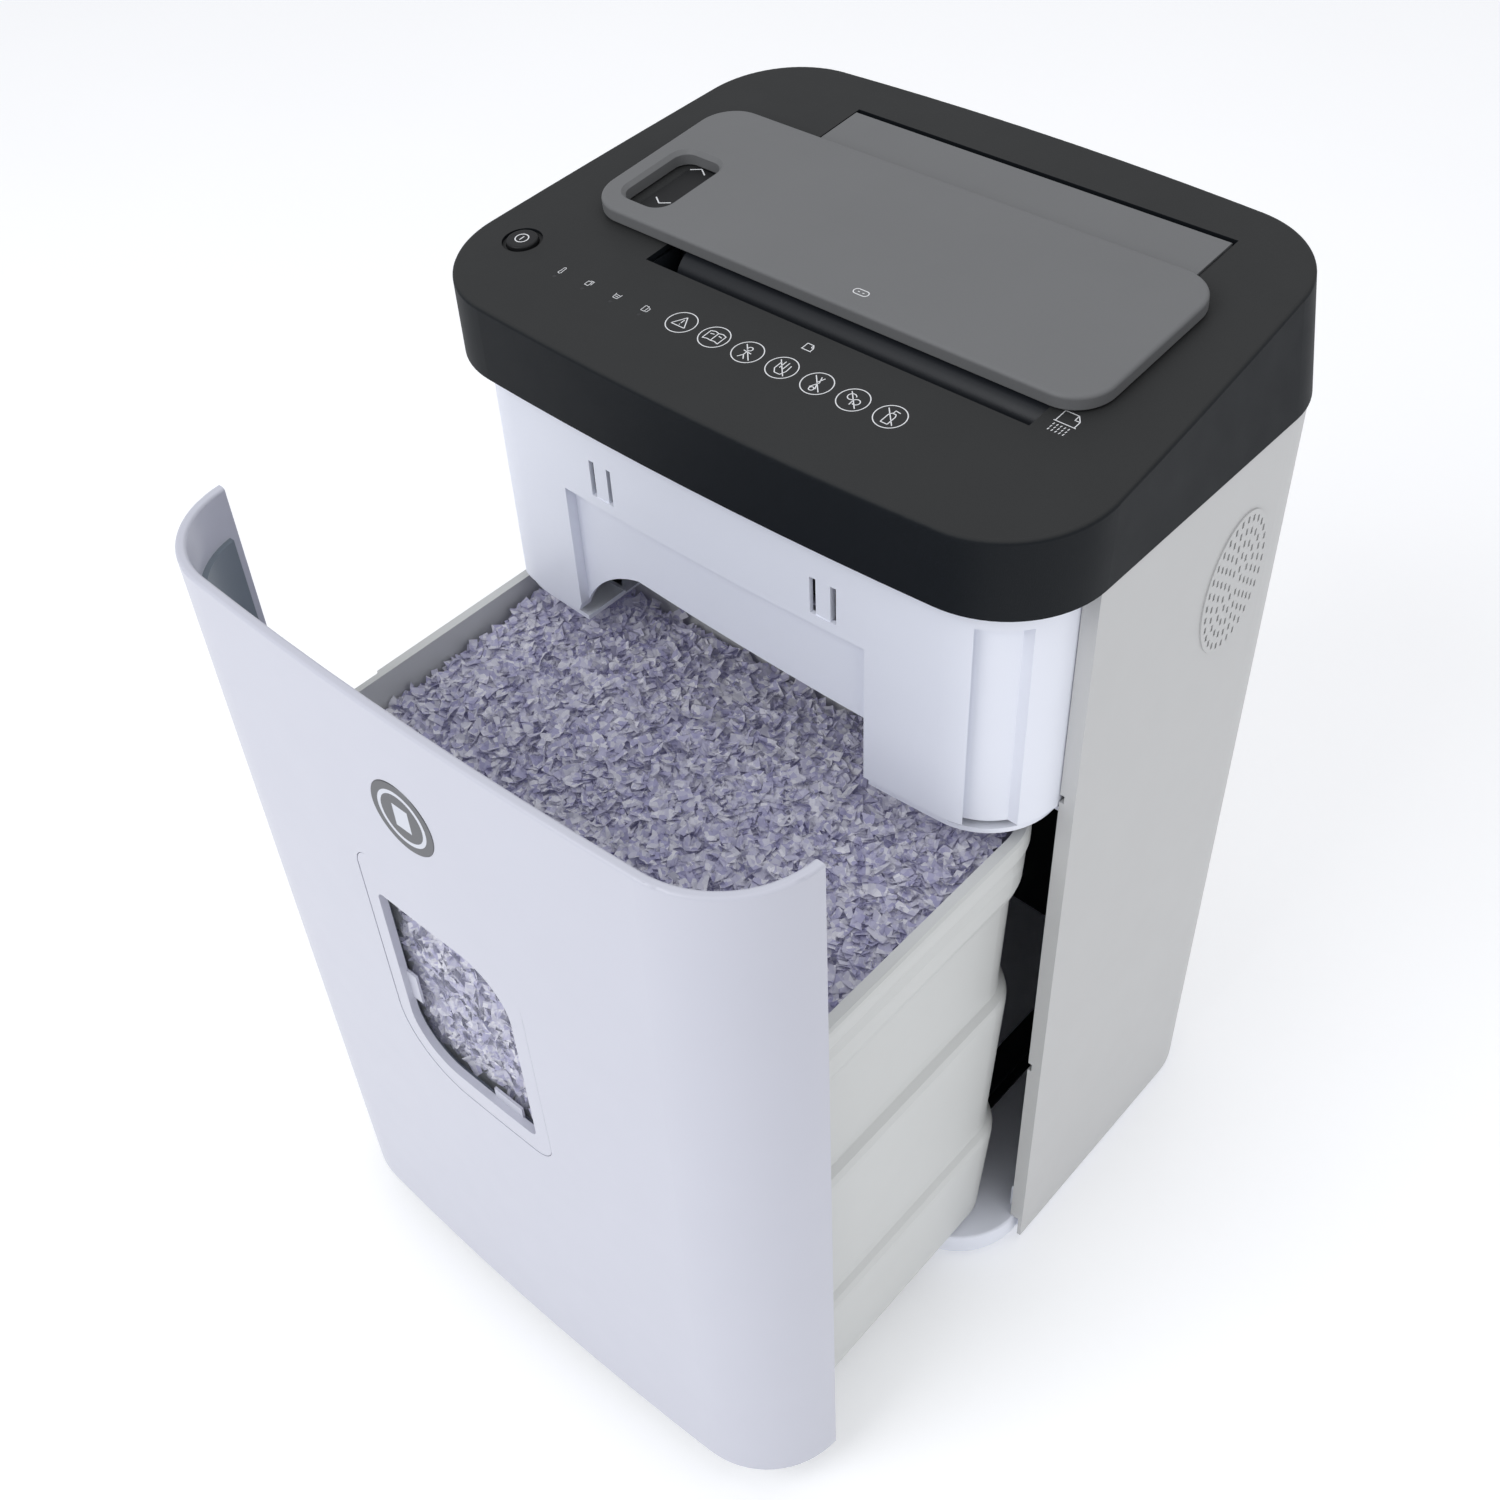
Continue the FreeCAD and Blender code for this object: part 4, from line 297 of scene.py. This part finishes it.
# %% Give every solid its finish
wears = {
    charcoal: ["top_cover"],
    lid_grey: ["feed_lid", "lid_hinge_flap"],
    button_black: ["power_button", "rocker_button", "pressure_plate", "board_components"],
    ramp_black: ["feed_ramp"],
    dark_inner: ["bay_liner", "mechanism_liner", "feed_tray", "throat_chute", "front_stripper",
                 "rear_stripper", "cooling_fan", "gear_cover", "slide_rails", "runner_shoes", "cord_gland"],
    hood_white: ["front_hood", "deck_plate", "plinth"],
    panel_white: ["left_side_panel", "right_side_panel", "back_panel"],
    drawer_white: ["drawer_front", "window_bezel"],
    liner_dark_painted_shade: ["drawer_liner"],
    tub_white: ["bin_tub"],
    steel: ["hinge_pins", "plate_pivot_pin", "power_button_spring", "rocker_pin", "front_cutter",
            "rear_cutter", "rear_sync_gear", "front_sync_gear", "cutter_drive_gear",
            "second_reduction_gear", "motor_rotor", "gear_axles"],
    zinc: ["back_panel_screws", "left_cutter_frame", "right_cutter_frame", "tie_rods", "motor_body"],
    rubber: ["feet", "feed_rollers", "pressure_pad"],
    nylon: ["idler_gear", "feed_roller_shaft", "first_reduction_gear", "shaft_bushes"],
    badge_grey: ["front_badge"],
    board_green: ["control_board"],
    pane_clear: ["window_pane"],
    guide_clear: ["light_pipes"],
    part_grey: ["motor_capacitor"],
}
for finish, names in wears.items():
    for name in names:
        nodes[name].data.materials.clear()
        nodes[name].data.materials.append(finish)
dressed = {name for names in wears.values() for name in names}
print("undressed:", sorted(set(nodes) - dressed))

# %% [markdown]
# ## Surfaces from arrays
#
# Every new piece is a sheet of points worked out at once: rows by columns, then faces between
# neighbours. One helper turns a stack of such sheets into a mesh, so that fourteen thousand shreds
# cost no more lines than one.

# %% From grids of points to a mesh


def mesh_from_grids(name, grids, material, body, smooth=True, wrap=False):
    """grids has shape (sheets, rows, columns, 3). Each sheet becomes quads between neighbouring points.

    With wrap, the last column joins the first.
    """
    sheets, rows, columns, _ = grids.shape
    index = np.arange(sheets * rows * columns).reshape(sheets, rows, columns)
    if wrap:
        index = np.concatenate([index, index[:, :, :1]], axis=2)
    quads = np.stack([index[:, :-1, :-1], index[:, :-1, 1:], index[:, 1:, 1:], index[:, 1:, :-1]], axis=-1)
    quads = quads.reshape(-1, 4)
    mesh = bpy.data.meshes.new(name)
    mesh.vertices.add(grids.size // 3)
    mesh.vertices.foreach_set("co", grids.astype(np.float32).ravel())
    mesh.loops.add(quads.size)
    mesh.loops.foreach_set("vertex_index", quads.astype(np.int32).ravel())
    mesh.polygons.add(len(quads))
    mesh.polygons.foreach_set("loop_start", np.arange(0, quads.size, 4, dtype=np.int32))
    mesh.polygons.foreach_set("use_smooth", np.full(len(quads), smooth))
    mesh.update(calc_edges=True)
    mesh.validate()
    mesh.materials.append(material)
    piece = bpy.data.objects.new(name, mesh)
    bpy.context.scene.collection.objects.link(piece)
    if body:
        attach(piece, body)
    print(f"{name}: {len(quads)} quads")
    return piece


# %% [markdown]
# ## The heap of shreds
#
# A micro-cut shredder leaves crisp flakes a few millimetres long. They lie at every angle, so the heap
# glitters with small shadows. A displaced texture would look like gravel; real flakes, each bent a
# little, give the right broken edges. Underneath lies a closed bed, so that no hole shows between them.

# %% Heap measures and the height of its surface
tub_low, tub_high = (np.array(c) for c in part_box("bin_tub"))
heap_middle = (tub_low[:2] + tub_high[:2]) / 2
heap_half = np.array([0.1565, 0.1045])
heap_middle[1] -= 0.001
heap_margin, heap_corner = 0.0015, 0.024
ripple_size, mean_drop, least_drop = 0.0011, 0.0185, 0.005
rng = np.random.default_rng(41)
waves = rng.uniform(-1, 1, (14, 4)) * [70, 70, math.pi, 1]


def heap_height(x, y):
    """Rim height less a drop of at least 5 mm; a dome, slopes and fourteen random ripples shrink the drop."""
    u, v = (x - heap_middle[0]) / heap_half[0], (y - heap_middle[1]) / heap_half[1]
    dome = 0.009 * (1 - np.clip(u, -1, 1) ** 2) * (1 - 0.6 * np.clip(v, -1, 1) ** 2)
    ripple = sum(w[3] * np.sin(w[0] * x + w[1] * y + w[2]) for w in waves) * ripple_size
    return tub_high[2] - np.maximum(mean_drop - 0.003 * u - 0.010 * v - dome - ripple, least_drop)


# %% [markdown]
# All flakes are made in one go. Their shape is a small grid; their turning is a 3 x 3 matrix each.

# %% Flakes


def flakes(places, facing, lift, seed, length=(0.0055, 0.0128), width=(0.0033, 0.0062), lean=0.58):
    """Bent, uneven flakes.

    Each starts as a 4 x 2 grid on the (a, b) plane. Its long edges are shaken, its height follows
    c = bend * a^2 + twist * a * b, it is turned at random about the heap's normal and leant over.
    """
    r = np.random.default_rng(seed)
    n = len(places)
    a = np.linspace(-0.5, 0.5, 4)[None, :, None] * r.uniform(*length, n)[:, None, None]
    b = np.linspace(-0.5, 0.5, 2)[None, None, :] * r.uniform(*width, n)[:, None, None]
    a, b = np.broadcast_arrays(a, b)
    a = a + r.normal(0, 0.00045, a.shape)
    b = b + r.normal(0, 0.00040, b.shape)
    bend = r.normal(0, 55, n)[:, None, None]
    twist = r.normal(0, 60, n)[:, None, None]
    local = np.stack([a, b, bend * a * a + twist * a * b], axis=-1)
    spin = r.uniform(0, 2 * np.pi, n)
    tilt = r.normal(0, lean, n)
    cs, sn, ct, st = np.cos(spin), np.sin(spin), np.cos(tilt), np.sin(tilt)
    turn = np.stack([np.stack([cs, -sn * ct, sn * st], -1), np.stack([sn, cs * ct, -cs * st], -1),
                     np.stack([np.zeros(n), st, ct], -1)], -2)
    turned = np.einsum("nij,nabj->nabi", facing @ turn, local)
    return places[:, None, None, :] + lift[:, None, None, None] * (facing @ [0, 0, 1]) + turned


def rounded_inside(x, y, half, radius):
    """True where (x, y) lies in the rectangle +-half with rounded corners."""
    dx = np.maximum(np.abs(x) - (half[0] - radius), 0)
    dy = np.maximum(np.abs(y) - (half[1] - radius), 0)
    return np.hypot(dx, dy) < radius


count = 14000
xy = rng.uniform(-1, 1, (count, 2)) * (heap_half - heap_margin)
xy = xy[rounded_inside(xy[:, 0], xy[:, 1], heap_half - heap_margin, heap_corner)] + heap_middle
tops = np.column_stack([xy, heap_height(xy[:, 0], xy[:, 1])])
heap_flakes = flakes(tops, np.eye(3), np.abs(rng.normal(0, 0.0022, len(tops))) - 0.001, seed=7)

# %% [markdown]
# The window shows the same heap from its side. Its flakes lie flat against the clear pane, so they
# face forward and lean less.

# %% Flakes behind the window
pane_low, pane_high = (np.array(c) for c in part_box("window_pane"))
count = 2400
xz = rng.uniform(pane_low[[0, 2]], pane_high[[0, 2]], (count, 2))
behind = pane_high[1] + rng.uniform(0.003, 0.0085, count)
sides = np.column_stack([xz[:, 0], behind, xz[:, 1]])
forward = np.array([[1, 0, 0], [0, 0, -1], [0, 1, 0]])
window_flakes = flakes(sides, forward, np.zeros(count), seed=9, lean=0.5)


# %% [markdown]
# Copier paper is white with a blue brightener, and the shade between flakes turns it lavender. Each flake
# gets its tone from its place, and the darker lavender tones are painted shade. Thin paper lets light
# through; here a faint lavender glow stands in for it, which is painted light that lifts the shade.

# %% Paper finish and the heap's pieces


def shred_paper(name):
    # Painted light: the emission gives the paper a faint lavender glow.
    made = Finish(name, Specular_IOR_Level=0.25, Emission_Color=(0.42, 0.41, 0.66, 1), Emission_Strength=0.04)
    patch = made.node("TexVoronoi", inputs={"Vector": made.place(), "Scale": 330.0}, out=1)
    # Painted shade: the darker lavender stops of this ramp stand for the shade between flakes; the paler ones
    # are the paper's own tone.
    tone_and_painted_shade = made.node("ValToRGB", {"stops": [(0.0, (0.36, 0.35, 0.52)), (1.0, (0.76, 0.755, 0.79)),
                                            (0.35, (0.48, 0.47, 0.60)), (0.7, (0.60, 0.595, 0.66))]},
                     {"Fac": made.node("SeparateColor", inputs={"Color": patch})})
    fibre = made.noise(0.0009, 3.0)
    made.drive(Base_Color=tone_and_painted_shade, Roughness=fibre * 0.1 + 0.7, Normal=made.bump(fibre, 0.00006))
    return made.material


paper = shred_paper("shred_paper")
heap = mesh_from_grids("shred_heap", heap_flakes, paper, "bin", smooth=False)
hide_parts("shredded_paper")
window_heap = mesh_from_grids("shreds_behind_window", window_flakes, paper, "bin", smooth=False)

# %% [markdown]
# The bed is a disc of rings that grow outwards, then drop at the rim and close underneath. It lies a
# little lower than the flakes.

# %% Bed under the flakes


def rounded_ring(t, half, power=6.0):
    """Superellipse: each coordinate is half * sign * |cos|^(2/power) or |sin|^(2/power)."""
    c, s = np.cos(t), np.sin(t)
    return np.stack([half[0] * np.sign(c) * np.abs(c) ** (2 / power),
                     half[1] * np.sign(s) * np.abs(s) ** (2 / power)], -1)


turn = np.linspace(0, 2 * np.pi, 181)[:-1]
ring = rounded_ring(turn, heap_half - 0.001)
share = np.concatenate([np.linspace(0.0, 1.0, 40), [1.0, 1.0, 0.5, 0.0]])
flat = heap_middle + share[:, None, None] * ring[None]
bed_drop = 0.0015
height = heap_height(flat[..., 0], flat[..., 1]) - bed_drop
height[-4:] = tub_high[2] - np.array([0.05, 0.09, 0.09, 0.09])[:, None]
bed_points = np.concatenate([flat, height[..., None]], -1)[::-1]
bed = mesh_from_grids("shred_bed", bed_points[None], paper, "bin", wrap=True)

# %% [markdown]
# ## Printed marks
#
# The marks on top are pad-printed: a film of ink a few hundredths of a millimetre thick. Each mark is a
# path drawn in the plane of the sloping top and widened into a ribbon that floats just clear of the
# plastic. The drawings are plain strokes of this model's own.

# %% The plane of the sloping top
cover_low, cover_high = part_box("top_cover")
top_rise, cover_depth = 0.022, 0.262
slope = math.atan2(top_rise, cover_depth)
deck = Matrix.Translation((0, 0, 0.575)) @ Matrix.Rotation(slope, 4, "X")
print("cover:", cover_low, cover_high)
deck_turn = np.array(deck.to_3x3())
deck_move = np.array(deck.to_translation())
millimetre = 0.001
ink_height = 0.06


def ribbon(path, width):
    """Ribbon round a path: each point is pushed +-width/2 along the normal of its neighbours' chord."""
    chord = np.gradient(path, axis=0)
    normal = np.stack([-chord[:, 1], chord[:, 0]], -1)
    normal /= np.linalg.norm(normal, axis=1, keepdims=True)
    return np.stack([path + normal * width / 2, path - normal * width / 2])


def arc(x, y, radius, start=0, end=360, steps=48):
    t = np.radians(np.linspace(start, end, steps))
    return np.stack([x + radius * np.cos(t), y + radius * np.sin(t)], -1)


def line(*corners):
    """Straight strokes, divided so that corners stay sharp."""
    corners = np.array(corners, float)
    pieces = [np.linspace(a, b, 6) for a, b in zip(corners, corners[1:])]
    return np.concatenate([p if i == 0 else p[1:] for i, p in enumerate(pieces)])


def printed(name, strokes, height, body, width=0.5):
    """Strokes in millimetres on the top's plane become ribbons height millimetres above it."""
    sheets = []
    for path in strokes:
        t = np.linspace(0, 1, 60)
        reach = np.concatenate([[0], np.cumsum(np.linalg.norm(np.diff(path, axis=0), axis=1))])
        even = np.stack([np.interp(t * reach[-1], reach, path[:, k]) for k in (0, 1)], -1)
        flat = ribbon(even, width)
        sheets.append(np.concatenate([flat, np.full(flat.shape[:2] + (1,), height)], -1))
    points = np.array(sheets) * millimetre @ deck_turn.T + deck_move
    return mesh_from_grids(name, points[:, ::-1], ink_white, body)


def ink(name, colour):
    """Matt ink that is a little thinner in places."""
    made = Finish(name)
    thin = made.noise(0.0007, 3.0)
    made.drive(Base_Color=made.blend(thin, tone(colour, 0.88), colour), Roughness=thin * 0.2 + 0.5)
    return made.material


ink_white = ink("print_white", (0.80, 0.81, 0.83))

# %% [markdown]
# Seven round signs stand in a row in front of the slot. Each is a ring with a few strokes in it; five
# of them are crossed out. They are generic signs and say nothing of the maker. Four smaller ones stand
# by the lamps: heat, too many sheets, bin full and bin open.

# %% Signs


def move(path, x, y, size=1.0):
    return np.asarray(path, float) * size + [x, y]


slash = line((-4.6, 4.9), (4.6, -4.9))
signs = [
    [line((-4.4, -3.0), (4.4, -3.0), (0, 4.6), (-4.4, -3.0)), line((0, 2.2), (0, -0.6)),
     line((0, -1.4), (0, -2.0))],
    [line((0, -3.0), (0, 3.4), (-2.4, 4.0), (-5.0, 3.2), (-5.0, -3.4), (-2.4, -2.6), (0, -3.0)),
     line((0, -3.0), (2.4, -2.6), (5.0, -3.4), (5.0, 3.2), (2.4, 4.0), (0, 3.4)),
     line((-3.8, 1.4), (-1.4, 1.8)), line((1.4, 1.8), (3.8, 1.4))],
    [slash, arc(-0.6, 2.6, 1.4), line((-0.6, 1.2), (-0.6, -2.4), (-2.4, -5.2)),
     line((-0.6, -2.4), (1.6, -5.2)), line((-2.8, 0.4), (2.4, -0.2))],
    [slash, line((-3.0, 3.6), (-3.0, -2.0), (-1.0, -4.6), (2.4, -4.6), (3.6, -1.0), (3.2, 3.4)),
     line((-1.2, 4.8), (-1.2, -0.6)), line((1.0, 4.8), (1.0, -0.6))],
    [slash, line((-1.0, 5.0), (0.6, 1.0), (-1.8, -3.8)), line((1.0, 5.0), (-0.6, 1.0), (1.8, -3.8)),
     arc(0, -4.4, 1.3)],
    [slash, arc(-2.0, 1.6, 2.2, 20, 330), arc(2.2, -0.6, 2.0, -120, 200), line((0, 0.4), (0.4, -3.8))],
    [slash, line((-1.8, -5.2), (-1.8, 1.0), (-0.8, 2.6), (1.4, 2.6), (2.2, 1.0), (2.2, -5.2), (-1.8, -5.2)),
     line((-0.4, 2.6), (-0.4, 4.8), (2.6, 4.4))],
]
first_sign_x, sign_pitch, sign_row_y, sign_radius = -44.5, 20.2, -86.0, 7.6
strokes = []
for i, sign in enumerate(signs):
    x, y = first_sign_x + sign_pitch * i, sign_row_y
    strokes.append(arc(x, y, sign_radius))
    strokes += [move(path, x, y, 0.92) for path in sign]
print("sign strokes:", len(strokes))
printed("round_signs", strokes, ink_height, "cabinet", width=0.50)

sheet = [line((-5.5, -1), (-5.5, 6), (2.5, 6), (5.5, 3), (5.5, -1)), line((2.5, 6), (2.5, 3), (5.5, 3)),
         line((-6.5, -1), (6.5, -1))]
drops = [line((-4.5 + 2.2 * k, -2.4 - 1.8 * j), (-4.9 + 2.2 * k, -3.5 - 1.8 * j))
         for k in range(5) for j in range(3)]
marks = [move(path * [0.85, 1.1], 139.5, -48, 1.0) for path in sheet + drops]
marks += [move(path * [0.7, 1.0], 16.5, -69.5, 0.62) for path in sheet]
printed("sheet_signs", marks, ink_height, "cabinet", width=0.45)

lamp_signs = [
    [line((-0.7, -0.6), (-0.7, 2.2)), line((0.7, -0.6), (0.7, 2.2)), arc(0, 2.2, 0.7, 0, 180, 12),
     arc(0, -1.3, 1.0, 50, -230)],
    [line((-1.6, -2), (-1.6, 1.2), (0.8, 1.2), (0.8, -2), (-1.6, -2)),
     line((-0.6, 1.9), (1.7, 1.9), (1.7, -1))],
    [line((-1.9, 1.6), (-1.4, -2), (1.4, -2), (1.9, 1.6)), line((-1.2, 0.6), (1.2, 0.6)),
     line((-1.0, -0.6), (1.0, -0.6))],
    [line((-1.9, 2), (-1.9, -2), (0.4, -2), (0.4, 2), (-1.9, 2)),
     line((1.0, 1.3), (1.9, 0.9), (1.9, -1.7), (1.0, -2.1))],
]
first_lamp_x, lamp_pitch, lamp_sign_y = -121.8, 18.7, -87.4
lamp_marks = [move(path, first_lamp_x + lamp_pitch * i, lamp_sign_y, 0.95)
              for i, sign in enumerate(lamp_signs) for path in sign]
printed("lamp_signs", lamp_marks, ink_height, "cabinet", width=0.34)

# %% [markdown]
# The marks on moving pieces ride with them: the power sign, two chevrons and a small capsule.

# %% Marks on the button, the rocker and the lid
button_top, rocker_top, lid_top = 1.06, 0.76, 8.56
power = [arc(-157.8, -79.5, 3.4), line((-157.8, -81.2), (-157.8, -77.8))]
printed("power_sign", power, button_top, "power", width=0.6)
chevrons = [line((-129.4, 12.0), (-124.4, 15.4), (-119.4, 12.0)),
            line((-126.7, -15.9), (-121.7, -19.3), (-116.7, -15.9))]
printed("rocker_chevrons", chevrons, rocker_top, "rocker", width=0.7)
right_end, left_end = arc(20.0, -32, 1.9, -90, 90, 16), arc(15.6, -32, 1.9, 90, 270, 16)
capsule = np.concatenate([right_end, left_end, [[20.0, -33.9]]])
dashes = [line((16.0, -32), (17.0, -32)), line((18.6, -32), (19.6, -32))]
printed("lid_mark", [capsule] + dashes, lid_top, "lid", width=0.5)

# %% [markdown]
# ## Floor, light and camera
#
# The machine stands on a plain pale floor. The floor glows faintly, as a lit studio table does, so
# that it stays nearly white without more light on the machine.

# %% Floor
floor_finish = Finish("studio_floor", Emission_Color=(0.95, 0.97, 1.0, 1), Emission_Strength=0.22)
paper_grain = floor_finish.noise(0.3, 2.0)
floor_finish.drive(Base_Color=floor_finish.blend(paper_grain, (0.93, 0.93, 0.935), (0.95, 0.95, 0.955)),
                   Roughness=paper_grain * 0.1 + 0.85)
corners = np.array([[[-6, -6, 0], [6, -6, 0]], [[-6, 6, 0], [6, 6, 0]]], float) + [0, 0, -0.0002]
floor = mesh_from_grids("studio_floor", corners[None], floor_finish.material, None)

# %% [markdown]
# Soft light comes from all round. One large soft box stands high in front, one weak one on the right
# and one overhead, so that the right side is a shade darker than the front.

# %% Light


def soft_box(name, place, target, size, watts, colour=(1, 1, 1)):
    light = bpy.data.lights.new(name, "AREA")
    light.shape = "RECTANGLE"
    light.size, light.size_y = size
    light.energy = watts
    light.color = colour
    lamp = bpy.data.objects.new(name, light)
    bpy.context.scene.collection.objects.link(lamp)
    away = np.array(place, float) - np.array(target, float)
    away /= np.linalg.norm(away)
    side = np.cross([0, 0, 1], away)
    side /= np.linalg.norm(side)
    up = np.cross(away, side)
    turn = Matrix(np.column_stack([side, up, away]).tolist()).to_4x4()
    lamp.matrix_world = Matrix.Translation(place) @ turn


soft_box("key_light", (-0.5, -2.2, 2.2), (0, -0.1, 0.3), (1.6, 1.6), 30, (0.97, 0.98, 1.0))
soft_box("fill_light", (2.2, -0.6, 1.6), (0, 0, 0.3), (1.6, 1.6), 4)
soft_box("top_light", (0.1, 0.4, 2.6), (0, 0.0, 0.3), (2.0, 2.0), 9)
world = bpy.data.worlds.new("studio")
bpy.context.scene.world = world
world.use_nodes = True
world.node_tree.nodes["Background"].inputs[0].default_value = (0.96, 0.97, 1.0, 1)
world.node_tree.nodes["Background"].inputs[1].default_value = 0.64
bpy.context.scene.view_settings.view_transform = "Standard"

# %% [markdown]
# The camera looks down on the machine from the front right. Its three axes are given as unit vectors.

# %% Camera
camera_data = bpy.data.cameras.new("camera")
camera_data.sensor_width = 36
camera_data.lens = 42.34
camera_data.shift_x = -0.0017
camera_data.shift_y = -0.0105
camera = bpy.data.objects.new("camera", camera_data)
right = np.array([0.747881, 0.662570, -0.040917])
down = np.array([0.444145, -0.545236, -0.710952])
ahead = np.array([-0.493365, 0.513535, -0.702050])
turn = Matrix(np.column_stack([right, -down, -ahead]).tolist()).to_4x4()
camera.matrix_world = Matrix.Translation((0.460832, -0.580618, 0.998505)) @ turn
bpy.context.scene.collection.objects.link(camera)
bpy.context.scene.camera = camera
